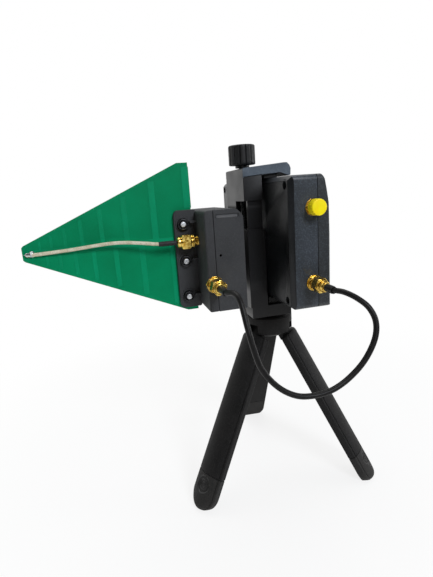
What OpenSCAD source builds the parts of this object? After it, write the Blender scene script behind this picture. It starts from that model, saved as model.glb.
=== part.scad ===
// Printed log-periodic antenna on a small radio module, with a hand-held meter
// in a screw clamp on a mini tripod. Millimetres, +Z up, feet on Z = 0.
// The antenna board lies in an X-Z plane and points to -X.

/* [Tripod] */
// Radius of the hub and of the closed leg bundle
hub_r = 16.3; // [14:0.1:20]
// Height of the hub's underside above the floor
hub_z = 105.5; // [90:0.5:120]
// Height of the hub
hub_h = 15; // [13:0.5:20]
// Spread of each leg from the vertical, in degrees
leg_spread = [29.4, 27.5, 28.7]; // [20:0.1:32]
// Direction of the first leg, in degrees from +X
leg_turn = -155; // [-180:0.5:180]
// Distance of a leg's hinge from the hub's axis
hinge_r = 8.5; // [8:0.1:10]
// Height of the hinge above the hub's underside
hinge_up = 5.2; // [5:0.1:8]
// Radius of the hinge pins
pin_r = 1.5; // [1:0.1:1.8]
// Width of a leg across its outer corners
leg_w = 22; // [16:0.5:23]
// Width of a leg across its inner corners
leg_w_in = 21; // [10:0.5:21.5]
// Distance of a closed leg's inner face from the hub's axis
leg_in = 7.6; // [7:0.1:9]
// Length of the rubber foot along the leg
foot_len = 23.9; // [16:0.1:30]
// Radius that rounds the end of the foot
foot_round = 4.8; // [4.6:0.1:9]

/* [Clamp] */
// Width of the clamp along the meter
clamp_w = 36.4; // [30:0.2:44]
// Reach of the base under the meter, from the clamp's back
base_len = 29.7; // [24:0.1:34]
// Thickness of the base
base_t = 8.2; // [6:0.1:10]
// Width of the lower columns from back to front
col_w = 12; // [9:0.1:14]
// Height of the lower columns above the base
col_h = 50.8; // [40:0.2:60]
// Width of one column along the meter
col_d = 9.2; // [7:0.1:10]
// Wall of the columns
col_wall = 1; // [0.8:0.1:1.5]
// Depth of the upper jaw's block, back to front
jaw_d = 12.3; // [10:0.1:15]
// Height of the block below the arm
jaw_h = 14.4; // [10:0.1:20]
// Thickness of the arm
arm_t = 5.6; // [4:0.1:7]
// Length of the arm from the clamp's back
arm_len = 31.8; // [26:0.1:36]
// Slope of the arm, in degrees
arm_rise = 4.4; // [0:0.1:6]
// Radius of the lead screw
lead_r = 2.5; // [2:0.1:3]
// Radius of the knob
knob_r = 8.7; // [7:0.1:10]
// Height of the knob
knob_h = 12.4; // [8:0.1:15]
// Flutes around the knob
knob_flutes = 14; // [10:1:28]

/* [Meter] */
// Thickness of the meter, back to screen
meter_t = 24.8; // [20:0.1:30]
// Length of the meter
meter_l = 133.5; // [110:0.5:150]
// Height of the meter as it is held
meter_h = 77; // [65:0.5:85]
// Thickness of the back shell
back_t = 16.8; // [12:0.1:20]
// Wall of the meter's shells
shell_wall = 2; // [1.6:0.1:2.6]
// Bevel around the back shell
bevel = 2.7; // [1:0.1:4]
// Overhang of the meter past the clamp towards the sockets
meter_out = 35.8; // [20:0.1:45]
// Height of the two sockets above the meter's lower edge
jack_z = [15.7, 59]; // [10:0.1:65]
// Distance of the sockets from the meter's back
jack_x = 14; // [8:0.1:18]

/* [Module] */
// Depth of the module's left shell
mod_left_t = 5.3; // [4:0.1:8]
// Width of the module
mod_w = 22.3; // [18:0.1:30]
// Length of the module, front to back
mod_l = 44; // [38:0.5:60]
// Height of the module
mod_h = 57; // [50:0.5:70]
// Wall of the module's shells
mod_wall = 2; // [1.6:0.1:2.5]
// Distance of the flange behind the module's front
flange_back = 26.1; // [22:0.1:30]
// Width of the flange beside the module
flange_w = 12.5; // [10:0.1:16]
// Thickness of the flange
flange_t = 3; // [2:0.1:4]
// Radius of the flange bolts
bolt_r = 1.5; // [1.2:0.1:2]

/* [Antenna] */
// Length of the board
board_l = 97.2; // [80:0.2:120]
// Height of the board at its wide end
board_h = 89.2; // [70:0.2:110]
// Height of the board at its tip
tip_h = 9; // [6:0.2:14]
// Thickness of the board
board_t = 1.6; // [0.8:0.1:2]
// Number of dipoles
dipoles = 15; // [9:1:19]
// Growth from one dipole to the next
growth = 1.105; // [1.05:0.005:1.2]
// Width of the boom strips
boom_w = 3.6; // [2:0.1:5]
// Thickness of the copper as modelled
copper_t = 0.15; // [0.1:0.01:0.3]

/* [Leads] */
// Diameter of the jumper cable
cable_d = 3; // [2:0.1:4]
// Diameter of the feed coax
coax_d = 2; // [1.4:0.1:2.6]
// Size across flats of the coupling nuts
nut_af = 8; // [7:0.1:9]

/* [Build] */
// Node to draw

/* [Hidden] */
$fn = 64;
e = 0.01;
gap = 0.3;
run = 0.05;

// tripod
hub_x = 0.6;
hinge_z = hub_z + hinge_up;
tongue_r = 3.8;
tongue_w = 8;
leg_mid = (leg_in + hub_r) / 2;
leg_top = hinge_up + 0.9;
foot_flat = 0.25;
foot_mid = max([for (a = leg_spread) (hinge_z + (leg_mid - hinge_r) * sin(a) - foot_round + foot_flat) / cos(a)]);
leg_end = foot_mid + foot_round;
foot_side = leg_end - leg_w / 2 - 0.4;
mark_z = leg_end - 16.5;
stem_r = 2.8;
pad_t = 2.5;
base_z = hub_z + hub_h + pad_t;
stud_r = 3.1;
stud_up = 6;

// clamp
clamp_x = -19.6;
clamp_y = -clamp_w / 2;
base_top = base_z + base_t;
base_x = clamp_x + 2.2;
col_x = clamp_x + 1.3;
col_top = base_top + col_h;
pad_lo = 4.8;
meter_z = base_top + pad_lo;
meter_top = meter_z + meter_h;
arm_z = meter_top + 1.4;
block_z = arm_z - jaw_h;
knob_x = clamp_x + jaw_d / 2;
arm_top_z = arm_z + arm_t;
collar_h = 1.8;
collar_r = 4.6;
knob_z = arm_top_z + (jaw_d / 2 + collar_r) * tan(arm_rise) + 0.1 + collar_h;
bar_run = 0.2;
insert_top = base_top + 19;
insert_h = 8;
lead_low = base_z + 2;
jaw_lift = 15;
jaw_pad_x = [clamp_x + jaw_d + 2.3, clamp_x + arm_len - 8.2];
pad_w = clamp_w - 4.4;

// meter
meter_x = -5.4;
meter_y = clamp_y - meter_out;
split_x = meter_x + back_t;
meter_x1 = meter_x + meter_t;
jx = meter_x + jack_x;
jack_zs = [for (z = jack_z) meter_z + z];
case_inset = [6.5, 5.2];
screw_head_r = 2.2;
screw_head_h = 1.4;
screw_sink = 2.2;
jog_l = 6;
jog_y = meter_y + meter_l - 38.5;
power_l = 3.2;
power_y = meter_y + meter_l - 19.5;
window_l = 92;
window_h = 52;
window_y = meter_y + 22;
window_z = meter_z + 8.5;

// coaxial sockets and plugs
thread_r = 3.175;
thread_out = 8.2;
body_in = 7;
panel_nut_t = 2;
plug_start = 4.4;
plug_l = 7.8;
ferrule_r = 2.6;
ferrule_l = 2.6;
sleeve_l = 7;
plug_end = plug_start + plug_l + ferrule_l;

// module
mod_x = -52.8;
mod_y = meter_y + 6.2;
mod_z = meter_z + 4.4;
mod_split = mod_x + mod_left_t;
mod_x1 = mod_x + mod_w;
mod_y1 = mod_y + mod_l;
mod_top = mod_z + mod_h;
flange_y = mod_y + flange_back;
flange_x = mod_x - flange_w;
flange_h = mod_h + 2.6;
flange_z = mod_z - 2.3;
bolt_x = mod_x - 7.2;
bolt_zs = [flange_z + flange_h * 0.124, flange_z + flange_h * 0.492, flange_z + flange_h * 0.862];
boss_r = 3.4;
boss_t = 2.2;
out_x = mod_x + 3.6;
out_z = mod_z + 16;
in_y = flange_y - 5.9;
in_z = mod_z + 39.2;
in_nut_out = 2.3;
bracket_y = [-12, 8];
bracket_z = [mod_z + mod_h * 0.14, mod_z + mod_h * 0.7];

// antenna board
board_y = flange_y + flange_t + 0.05;
board_x1 = mod_x - 1;
board_x0 = board_x1 - board_l;
board_z = mod_z + 39.9;
board_flat = 6.5;
first_x = board_x0 + 9.6;
array_l = board_l - 9.6 - 1.9;
first_d = array_l * (growth - 1) / (pow(growth, dipoles - 1) - 1) / (growth - 1);
function dip(n) = first_d * pow(growth, n);
function dip_x(n) = first_x - first_d + dip(n);
function dip_w(n) = 0.038 * dip(n) + 0.1;
function edge_h(x) = min(board_h / 2, tip_h / 2
    + (board_h - tip_h) / 2 * (x - board_x0) / (board_l - board_flat));

// the frame's origin: the middle of the footprint, on the floor
shift_x = 43.4;
shift_y = -8.65;

// jumper cable, from the module's socket to the meter's lower socket
jumper_path = [
    [-49.2, -62.5, 156.4], [-49, -70, 156.5], [-46.5, -75.5, 157], [-45, -80.5, 153.5],
    [-44, -86, 142], [-42.5, -89, 132], [-39.5, -91, 121.5], [-32.5, -93, 112],
    [-24, -95, 106.5], [-15, -96, 105], [-5.5, -97, 106.5], [4, -97, 111],
    [13, -97, 119], [19.5, -96, 129], [21.5, -94, 137.5], [19.5, -91, 144.5],
    [15.5, -86.5, 149], [11.5, -81, 151.5], [8.6, -75, 151.7], [8.6, -68.8, 151.7]];
// feed coax, from the tip of the board to the module's input plug
coax_path = [
    [-149, -20, 179.9], [-145, -20, 179.6], [-125, -21.4, 180.6], [-106, -23.6, 182.2],
    [-95, -25.3, 182.2], [-84, -26.8, 180.9], [-77, -27.6, 179.9], [-69.4, -27.6, 179.6]];

// ---- helpers ----

// box from its lowest to its highest corner
module block(lo, hi) {
    translate(lo) cube(hi - lo);
}

// cylinder along -Y from the given point
module rod_y(p, r, l) {
    translate(p) rotate([90, 0, 0]) cylinder(r = r, h = l);
}

// cylinder along +X from the given point
module rod_x(p, r, l) {
    translate(p) rotate([0, 90, 0]) cylinder(r = r, h = l);
}

// hexagonal bar along +Z, with its corners turned down at both ends
module hex_bar(af, l) {
    intersection() {
        cylinder(d = af / cos(30), h = l, $fn = 6);
        union() {
            cylinder(d1 = af * 0.98, d2 = af * 1.16, h = l / 8);
            translate([0, 0, l / 8]) cylinder(d = af * 1.16, h = l * 3 / 4);
            translate([0, 0, l * 7 / 8]) cylinder(d1 = af * 1.16, d2 = af * 0.98, h = l / 8);
        }
    }
}

// tube of round section along a list of points
module tube_along(pts, d, sides) {
    n = len(pts);
    dirs = [for (i = [0 : n - 1])
        let (a = pts[max(i - 1, 0)], b = pts[min(i + 1, n - 1)]) (b - a) / norm(b - a)];
    ups = [for (t = dirs) abs(t[1]) < 0.9 ? [0, 1, 0] : [0, 0, 1]];
    ring = [for (i = [0 : n - 1])
        let (u0 = cross(dirs[i], [0.35, 0.6, 0.72]), u = u0 / norm(u0), v = cross(dirs[i], u))
        [for (k = [0 : sides - 1]) pts[i] + d / 2 * (cos(360 * k / sides) * u + sin(360 * k / sides) * v)]];
    faces = concat(
        [[for (k = [0 : sides - 1]) k]],
        [for (i = [0 : n - 2], k = [0 : sides - 1])
            let (a = i * sides + k, b = i * sides + (k + 1) % sides) [a, a + sides, b + sides, b]],
        [[for (k = [sides - 1 : -1 : 0]) (n - 1) * sides + k]]);
    polyhedron(points = [for (r = ring, p = r) p], faces = faces, convexity = 6);
}

// points between the hand-set ones, on a smooth curve through them
function mid_curve(p, q, r, s, t) = 0.5 * ((2 * q) + (r - p) * t
    + (2 * p - 5 * q + 4 * r - s) * t * t + (3 * q - p - 3 * r + s) * t * t * t);
function smooth(pts, steps) = let (n = len(pts)) concat(
    [for (i = [0 : n - 2], j = [0 : steps - 1])
        mid_curve(pts[max(i - 1, 0)], pts[i], pts[i + 1], pts[min(i + 2, n - 1)], j / steps)],
    [pts[n - 1]]);

// ---- tripod ----

module at_leg(k) {
    translate([hub_x, 0, 0]) rotate([0, 0, leg_turn + 120 * k]) children();
}

module at_hinge(k, open = 1) {
    at_leg(k) translate([hinge_r, 0, hinge_z]) rotate([0, -leg_spread[k] * open, 0]) children();
}

module tripod_hub() {
    color("#2a2a2c") difference() {
        union() {
            translate([hub_x, 0, hub_z]) cylinder(r1 = hub_r - 6, r2 = hub_r, h = 3.2);
            translate([hub_x, 0, hub_z + 3.2]) cylinder(r = hub_r, h = hub_h - 4.2);
            translate([hub_x, 0, hub_z + hub_h - 1]) cylinder(r1 = hub_r, r2 = hub_r - 1, h = 1);
        }
        for (k = [0 : 2]) at_leg(k) {
            block([hinge_r - tongue_r - gap, -tongue_w / 2 - gap, hub_z - 1],
                [hub_r + 4, tongue_w / 2 + gap, hinge_z + tongue_r + 0.4]);
            rod_y([hinge_r, 11 + gap, hinge_z], pin_r, 22 + 2 * gap);
        }
        translate([hub_x, 0, hub_z + hub_h - 8]) cylinder(r = stud_r, h = 12);
    }
}

module hub_pad() {
    color("#1b1b1c") difference() {
        translate([hub_x, 0, hub_z + hub_h]) cylinder(r = hub_r - 3.3, h = pad_t);
        translate([hub_x, 0, hub_z + hub_h - 1]) cylinder(r = stud_r + gap, h = pad_t + 2);
    }
}

module tripod_screw() {
    color("#9a9a9a")
        translate([hub_x, 0, hub_z + hub_h - 8]) {
            cylinder(r = stud_r, h = 8 + pad_t + stud_up - 1);
            translate([0, 0, 8 + pad_t + stud_up - 1]) cylinder(r1 = stud_r, r2 = stud_r - 1, h = 1);
        }
}

// cross-section of a leg: flat inside, slanted flanks, round outside
module leg_section() {
    intersection() {
        translate([-hinge_r, 0]) circle(r = hub_r, $fn = 96);
        translate([-hinge_r, 0]) polygon([[leg_in, -leg_w_in / 2], [leg_in, leg_w_in / 2],
            [hub_r - 3.8, leg_w / 2], [hub_r + 1, leg_w / 2], [hub_r + 1, -leg_w / 2], [hub_r - 3.8, -leg_w / 2]]);
    }
}

module leg(k) {
    seam = leg_end - foot_len;
    color("#2c2c2e") difference() {
        at_hinge(k) difference() {
            union() {
                intersection() {
                    translate([0, 0, -seam]) linear_extrude(seam - leg_top) leg_section();
                    // upper corners cut off
                    translate([-20, 0, 0]) rotate([90, 0, 90]) linear_extrude(40) polygon([
                        [-20, -seam], [20, -seam], [20, -20], [leg_w / 2, -leg_top - 2.6], [leg_w / 2 - 0.8, -leg_top - 1],
                        [leg_w / 2 - 2.6, -leg_top], [2.6 - leg_w / 2, -leg_top], [0.8 - leg_w / 2, -leg_top - 1],
                        [-leg_w / 2, -leg_top - 2.6], [-20, -20]]);
                }
                intersection() {
                    rod_y([0, tongue_w / 2, 0], tongue_r, tongue_w);
                    block([-tongue_r - 1, -tongue_w, -tongue_r - 1], [tongue_r + 1, tongue_w, tongue_r + 1]);
                }
                block([-tongue_r, -tongue_w / 2, -leg_top - 1], [tongue_r, tongue_w / 2, 0]);
            }
            rod_y([0, tongue_w, 0], pin_r + run, 2 * tongue_w);
            translate([leg_mid - hinge_r, 0, -seam - 1]) cylinder(r = stem_r + 0.1, h = 10);
        }
    }
}

module foot(k) {
    seam = leg_end - foot_len;
    color("#1a1a1b") difference() {
        at_hinge(k) {
            difference() {
                intersection() {
                    translate([0, 0, -leg_end]) linear_extrude(foot_len - 0.4) leg_section();
                    // rounded end as seen from the side
                    union() {
                        rod_y([leg_mid - hinge_r, leg_w, -foot_mid], foot_round, 2 * leg_w);
                        block([-20, -20, -foot_mid], [20, 20, -seam]);
                    }
                    // rounded end as seen from outside
                    union() {
                        rod_x([-20, 0, -foot_side], leg_w / 2 + 0.4, 40);
                        block([-20, -20, -foot_side], [20, 20, -seam]);
                    }
                }
                // round grip mark on the outer face
                rod_x([hub_r - hinge_r - 0.5, 0, -mark_z], 5.5, 2);
            }
            rod_x([hub_r - hinge_r - 1, 0, -mark_z], 4.2, 0.9);
            translate([leg_mid - hinge_r, 0, -seam - 2]) cylinder(r = stem_r, h = 10);
        }
        translate([-150, -150, -20]) cube([300, 300, 20]);
    }
}

module leg_left() { leg(0); }
module leg_right() { leg(1); }
module leg_rear() { leg(2); }
module foot_left() { foot(0); }
module foot_right() { foot(1); }
module foot_rear() { foot(2); }

module leg_pins() {
    color("#8c8c8c") for (k = [0 : 2]) at_leg(k) rod_y([hinge_r, 11, hinge_z], pin_r, 22);
}

// ---- clamp ----

// one lower column, near (side = -1) or far (side = 1)
module column(side) {
    y0 = side < 0 ? clamp_y : -clamp_y - col_d;
    difference() {
        block([col_x, y0, base_top - 1], [col_x + col_w, y0 + col_d, col_top]);
        block([col_x + col_wall, y0 + col_wall, base_top + 2], [col_x + col_w - col_wall, y0 + col_d - col_wall, col_top + 1]);
    }
}

module clamp_frame() {
    color("#303133") difference() {
        union() {
            block([base_x, clamp_y, base_z], [base_x + base_len - 2, -clamp_y, base_top]);
            intersection() {
                block([base_x, clamp_y, base_z], [base_x + base_len, -clamp_y, base_top]);
                rod_y([base_x + base_len - 10, -clamp_y, base_z + 10], 10, clamp_w);
            }
            column(-1);
            column(1);
            block([col_x + col_w - 2, clamp_y + col_d - 1, base_top - 1], [col_x + col_w, 1 - clamp_y - col_d, col_top - 1]);
            block([col_x, clamp_y + col_d - 1, base_top - 1], [col_x + col_w - 1, 1 - clamp_y - col_d, insert_top]);
        }
        // lead screw and its insert
        translate([knob_x, 0, lead_low - 1]) cylinder(r = lead_r + gap, h = 80);
        translate([knob_x, 0, insert_top - insert_h]) cylinder(r = 4, h = insert_h + 1);
        // tripod thread
        translate([hub_x, 0, base_z - 1]) cylinder(r = stud_r, h = stud_up + 1.5);
    }
}

module nut_insert() {
    color("#b89a52") difference() {
        translate([knob_x, 0, insert_top - insert_h]) cylinder(r = 4, h = insert_h);
        translate([knob_x, 0, insert_top - insert_h - 1]) cylinder(r = lead_r + run, h = insert_h + 2);
    }
}

module slide_bar(side) {
    y0 = (side < 0 ? clamp_y : -clamp_y - col_d) + col_wall + bar_run;
    block([col_x + col_wall + bar_run, y0, base_top + 6],
        [col_x + col_w - col_wall - bar_run, y0 + col_d - 2 * (col_wall + bar_run), block_z + 1]);
}

module upper_jaw() {
    rise = tan(arm_rise);
    x0 = clamp_x;
    x1 = clamp_x + arm_len;
    color("#34363a") difference() {
        union() {
            // block with the arm above it, seen from the side
            translate([0, -clamp_y, 0]) rotate([90, 0, 0]) linear_extrude(clamp_w) polygon([
                [x0, block_z], [x0 + jaw_d, block_z], [x0 + jaw_d, arm_z + jaw_d * rise],
                [x1 - 7, arm_z + (arm_len - 7) * rise], [x1 - 1, arm_z - 0.4], [x1, arm_z],
                [x1 + 0.2, arm_z + 4], [x1 - 0.6, arm_z + 6], [x1 - 2.2, arm_top_z + arm_len * rise - 0.4],
                [x1 - 4.5, arm_top_z + (arm_len - 4.5) * rise], [x0 + 0.6, arm_top_z], [x0, arm_top_z - 0.6]]);
            slide_bar(-1);
            slide_bar(1);
            // lower apron of the back wall on the far side
            block([x0, -1, block_z - 10], [x0 + 1.2, -clamp_y, block_z + 1]);
        }
        translate([knob_x, 0, block_z - 20]) cylinder(r = lead_r + gap, h = 60);
        // seam under the arm on the near and far faces
        for (y = [clamp_y - 1, -clamp_y - 0.5])
            translate([x0 - 1, y, arm_z - 0.2]) rotate([0, -arm_rise, 0]) cube([jaw_d + 1.2, 1.5, 0.5]);
    }
}

module jaw_pad() {
    rise = tan(arm_rise);
    x = jaw_pad_x;
    zs = [for (a = x) arm_z + (a - clamp_x) * rise - 0.05];
    color("#202021") translate([0, pad_w / 2, 0]) rotate([90, 0, 0]) linear_extrude(pad_w) polygon([
        [x[0], meter_top], [x[1], meter_top], [x[1], zs[1]], [x[0], zs[0]]]);
}

module base_pad() {
    color("#202021") difference() {
        block([meter_x + 0.4, -pad_w / 2, base_top], [base_x + base_len - 2.5, pad_w / 2, meter_z]);
        for (i = [0 : 4])
            block([meter_x + 2.2 + 3 * i, -pad_w, meter_z - 1], [meter_x + 3.4 + 3 * i, pad_w, meter_z + 1]);
    }
}

module lead_screw() {
    color("#8d8f92") translate([knob_x, 0, lead_low]) {
        cylinder(r1 = lead_r - 0.8, r2 = lead_r, h = 1);
        translate([0, 0, 1]) cylinder(r = lead_r, h = knob_z + knob_h - 3 - lead_low - 1);
    }
}

module clamp_knob() {
    color("#303133") difference() {
        translate([knob_x, 0, knob_z]) {
            cylinder(r1 = knob_r - 0.5, r2 = knob_r, h = 0.8);
            translate([0, 0, 0.8]) cylinder(r = knob_r, h = knob_h - 1.8);
            translate([0, 0, knob_h - 1]) cylinder(r1 = knob_r, r2 = knob_r - 1, h = 1);
        }
        translate([knob_x, 0, knob_z - 1]) cylinder(r = lead_r, h = knob_h - 2);
        for (i = [0 : knob_flutes - 1])
            translate([knob_x, 0, knob_z - 1]) rotate([0, 0, 360 / knob_flutes * i])
                translate([knob_r + 0.2, 0, 0]) cylinder(r = 0.75, h = knob_h + 2, $fn = 20);
    }
}

module knob_collar() {
    color("#3a3b3d") difference() {
        translate([knob_x, 0, knob_z - collar_h]) cylinder(r = collar_r, h = collar_h);
        translate([knob_x, 0, knob_z - collar_h - 1]) cylinder(r = lead_r + run, h = collar_h + 2);
    }
}

// ---- meter ----

// positions of the four case screws
module at_case_screws() {
    for (y = [meter_y + case_inset[0], meter_y + meter_l - case_inset[0]],
        z = [meter_z + case_inset[1], meter_top - case_inset[1]]) translate([meter_x, y, z]) children();
}

// the meter's outline grown inwards by w, from x0 to x1: back edges bevelled by b, front
// edges by c, and the upper front edge leaning back by the share t
module meter_body(x0, x1, w, b, c, t) {
    y0 = meter_y + w;
    y1 = meter_y + meter_l - w;
    z0 = meter_z + w;
    z1 = meter_top - w;
    r = 3 - w / 2;
    intersection() {
        // corners rounded as seen from the back
        union() {
            block([x0, y0 + r, z0], [x1, y1 - r, z1]);
            block([x0, y0, z0 + r], [x1, y1, z1 - r]);
            for (y = [y0 + r, y1 - r], z = [z0 + r, z1 - r]) rod_x([x0, y, z], r, x1 - x0);
        }
        // bevels along the length
        translate([0, y1, 0]) rotate([90, 0, 0]) linear_extrude(y1 - y0) polygon([
            [x0, z0 + b], [x0 + b, z0], [x1 - c, z0], [x1, z0 + c],
            [x1, z1 - 34 * t], [x1 - t, z1 - 16 * t], [x1 - 2.2 * t, z1 - 8.5 * t],
            [x1 - 3.3 * t, z1 - 3 * t], [x1 - 4.8 * t, z1], [x0 + b, z1], [x0, z1 - b]]);
        // bevels across the ends
        translate([0, 0, z0]) linear_extrude(z1 - z0) polygon([
            [x0, y0 + b], [x0 + b, y0], [x1 - c, y0], [x1, y0 + c],
            [x1, y1 - c], [x1 - c, y1], [x0 + b, y1], [x0, y1 - b]]);
    }
}

module meter_back_shell() {
    w = shell_wall;
    color("#33393f") difference() {
        union() {
            difference() {
                meter_body(meter_x, split_x, 0, bevel, 0, 0);
                meter_body(meter_x + w, split_x + 1, w, bevel - 0.8, 0, 0);
            }
            at_case_screws() intersection() {
                rod_x([0.4, 0, 0], 3.6, back_t - 0.4);
                union() {
                    block([0, -4.4, -3.4], [back_t, 4.4, 3.4]);
                }
            }
        }
        at_case_screws() {
            rod_x([-1, 0, 0], screw_head_r + 0.2, 1 + screw_sink + screw_head_h);
            rod_x([-1, 0, 0], 1.4, back_t + 2);
        }
        for (z = jack_zs) rod_y([jx, meter_y + w + 1, z], thread_r + run, w + 2);
        block([jx - 3, jog_y - 3, meter_top - w - 1], [jx + 1.6, jog_y + jog_l + 3, meter_top + 1]);
        block([jx - 2.6, power_y - 2, meter_top - w - 1], [jx + 1.4, power_y + power_l + 3.8, meter_top + 1]);
    }
}

module meter_front_shell() {
    w = shell_wall;
    color("#33393f") difference() {
        union() {
            difference() {
                meter_body(split_x + 0.05, meter_x1, 0, 0, 1, 1);
                meter_body(split_x - 1, meter_x1 - w, w, 0, 0, 1);
            }
            intersection() {
                meter_body(split_x + 0.05, meter_x1 - 1, 0.5, 0, 1, 1);
                at_case_screws() rod_x([back_t + 0.05, 0, 0], 3.5, meter_t - back_t - 1.5);
            }
        }
        at_case_screws() rod_x([back_t - 1, 0, 0], 1.15, meter_t - back_t - 5);
        block([meter_x1 - w - 2, window_y, window_z], [meter_x1 + 1, window_y + window_l, window_z + window_h]);
        for (z = jack_zs) rod_y([jx, meter_y + w + 1, z], thread_r + run, w + 2);
    }
}

module display_window() {
    color("#101418") block([meter_x1 - 2.2, window_y + 0.1, window_z + 0.1],
        [meter_x1 - 1.2, window_y + window_l - 0.1, window_z + window_h - 0.1]);
}

module display_panel() {
    color("#15181c") block([meter_x1 - shell_wall - 5, window_y - 3, window_z - 2],
        [meter_x1 - shell_wall - 2, window_y + window_l + 5, window_z + window_h + 2]);
}

module meter_board() {
    x = meter_x + 11;
    color("#1d6b3a") difference() {
        block([x, meter_y + 11, meter_z + 4], [x + 1.6, meter_y + meter_l - 4, meter_top - 4]);
        at_case_screws() rod_x([back_t - 8, 0, 0], 4.2, 6);
    }
}

module battery() {
    color("#8a8f98") block([meter_x + shell_wall + 1, meter_y + meter_l * 0.25, meter_z + meter_h * 0.15],
        [meter_x + shell_wall + 7, meter_y + meter_l * 0.75, meter_z + meter_h * 0.8]);
}

// coaxial bulkhead socket along -Y; the outer face of its wall is at y = 0
module jack(wall, out, inner) {
    difference() {
        union() {
            rotate([90, 0, 0]) cylinder(r = thread_r, h = out);
            translate([0, wall, 0]) rotate([90, 0, 0]) cylinder(r = thread_r, h = wall);
            translate([0, wall + inner, 0]) rotate([90, 0, 0]) rotate([0, 0, 30]) hex_bar(8, 2 + 0 * inner);
            translate([0, wall + inner, 0]) rotate([90, 0, 0]) cylinder(r = 2.6, h = inner);
            translate([0, wall + 2, 0]) rotate([90, 0, 0]) hex_bar(nut_af, 2);
        }
        translate([0, 1, 0]) rotate([90, 0, 0]) cylinder(r = 2.3, h = out + 2);
    }
    rotate([90, 0, 0]) cylinder(r = 0.65, h = out - 2);
    translate([0, 1.1, 0]) rotate([90, 0, 0]) cylinder(r = 2.05, h = out - 1.5);
}

module jack_nut() {
    difference() {
        rotate([90, 0, 0]) hex_bar(nut_af, panel_nut_t);
        translate([0, 1, 0]) rotate([90, 0, 0]) cylinder(r = thread_r, h = panel_nut_t + 2);
    }
}

module meter_jack_lower() {
    color("#c8a24a") translate([jx, meter_y, jack_zs[0]]) jack(shell_wall, thread_out, body_in);
}

module meter_jack_upper() {
    color("#c8a24a") translate([jx, meter_y, jack_zs[1]]) jack(shell_wall, thread_out - 1.2, body_in);
}

module meter_jack_nuts() {
    color("#c8a24a") for (z = jack_zs) translate([jx, meter_y, z]) jack_nut();
}

module dust_cap() {
    l = 5.8;
    color("#ffe11a") translate([jx, meter_y - panel_nut_t - 0.2, jack_zs[1]]) rotate([90, 0, 0]) difference() {
        union() {
            cylinder(r = 4.6, h = l - 0.5);
            translate([0, 0, l - 0.5]) cylinder(r1 = 4.6, r2 = 4.1, h = 0.5);
        }
        translate([0, 0, -1]) cylinder(r = thread_r + run, h = l + 0.3);
    }
}

module case_screws() {
    color("#3b3b3d") at_case_screws() difference() {
        union() {
            rod_x([screw_sink, 0, 0], screw_head_r, screw_head_h);
            rod_x([screw_sink + screw_head_h - 0.2, 0, 0], screw_head_r / 2, meter_t - 8.4 - screw_sink);
        }
        translate([screw_sink - 0.2, 0, 0]) rotate([0, 90, 0]) cylinder(d = screw_head_r, h = 1, $fn = 6);
    }
}

module power_switch() {
    color("#1e1f21") {
        block([jx - 2.4, power_y, meter_top - shell_wall - 1.4], [jx + 1.2, power_y + power_l, meter_top + 0.6]);
    }
}

module jog_switch() {
    color("#1e1f21") block([jx - 2.6, jog_y, meter_top - shell_wall - 1.4], [jx + 1.2, jog_y + jog_l, meter_top + 1]);
}

// ---- radio module ----

// rounded module outline as seen from the front, between two depths
module module_body(x0, x1, w, y0, y1) {
    z0 = mod_z + w;
    z1 = mod_top - w;
    xa = mod_x + w;
    xb = mod_x1 - w;
    intersection() {
        block([x0, y0, z0 - 1], [x1, y1, z1 + 1]);
        translate([0, y1, 0]) rotate([90, 0, 0]) linear_extrude(y1 - y0) polygon([
            [xa, z0], [xb, z0], [xb, z1 - 4.6], [xb - 1.2, z1 - 2.6], [xb - 3.4, z1 - 0.4],
            [xb - 5, z1], [xa + 2.2, z1], [xa + 0.7, z1 - 0.7], [xa, z1 - 2.4]]);
    }
}

module module_left_shell() {
    w = mod_wall;
    color("#37383b") difference() {
        union() {
            difference() {
                module_body(mod_x, mod_split, 0, mod_y, mod_y1);
                module_body(mod_x + w, mod_split + 1, w, mod_y + w, mod_y1 - w);
            }
            // flange for the antenna, with its outer corners cut off
            translate([0, flange_y + flange_t, 0]) rotate([90, 0, 0]) linear_extrude(flange_t) polygon([
                [mod_x + 1, flange_z + 2.4], [mod_x, flange_z], [flange_x + 2, flange_z], [flange_x, flange_z + 3.2],
                [flange_x, flange_z + flange_h - 2.6], [flange_x + 2, flange_z + flange_h], [mod_x, flange_z + flange_h],
                [mod_x + 1, flange_z + flange_h - 2.4]]);
            for (z = bolt_zs) {
                rod_y([bolt_x, flange_y + 1, z], boss_r + 1.2, boss_t - 0.8);
                block([bolt_x, flange_y - 4, z + 0.4], [mod_x + 0.5, flange_y + 1, z + 1.8]);
            }
            // thick seat behind the two sockets
            block([mod_x + 0.5, mod_y + 0.5, out_z - 6], [mod_split, mod_y + 5, out_z + 6]);
            block([mod_x + 0.5, in_y - 6, in_z - 6], [mod_x + 4, in_y + 6, in_z + 6]);
        }
        rod_y([out_x, mod_y + 6, out_z], thread_r + run, 8);
        rod_y([out_x, mod_y + 9, out_z], 4.8, 7);
        rod_x([mod_x - 1, in_y, in_z], thread_r + run, 6);
        rod_x([mod_x + 2, in_y, in_z], 4.8, 6);
        for (z = bolt_zs) {
            rod_y([bolt_x, flange_y + flange_t + 1, z], bolt_r + 0.1, flange_t + 6);
            rod_y([bolt_x, flange_y + 0.2, z], boss_r, 6);
        }
    }
}

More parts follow.
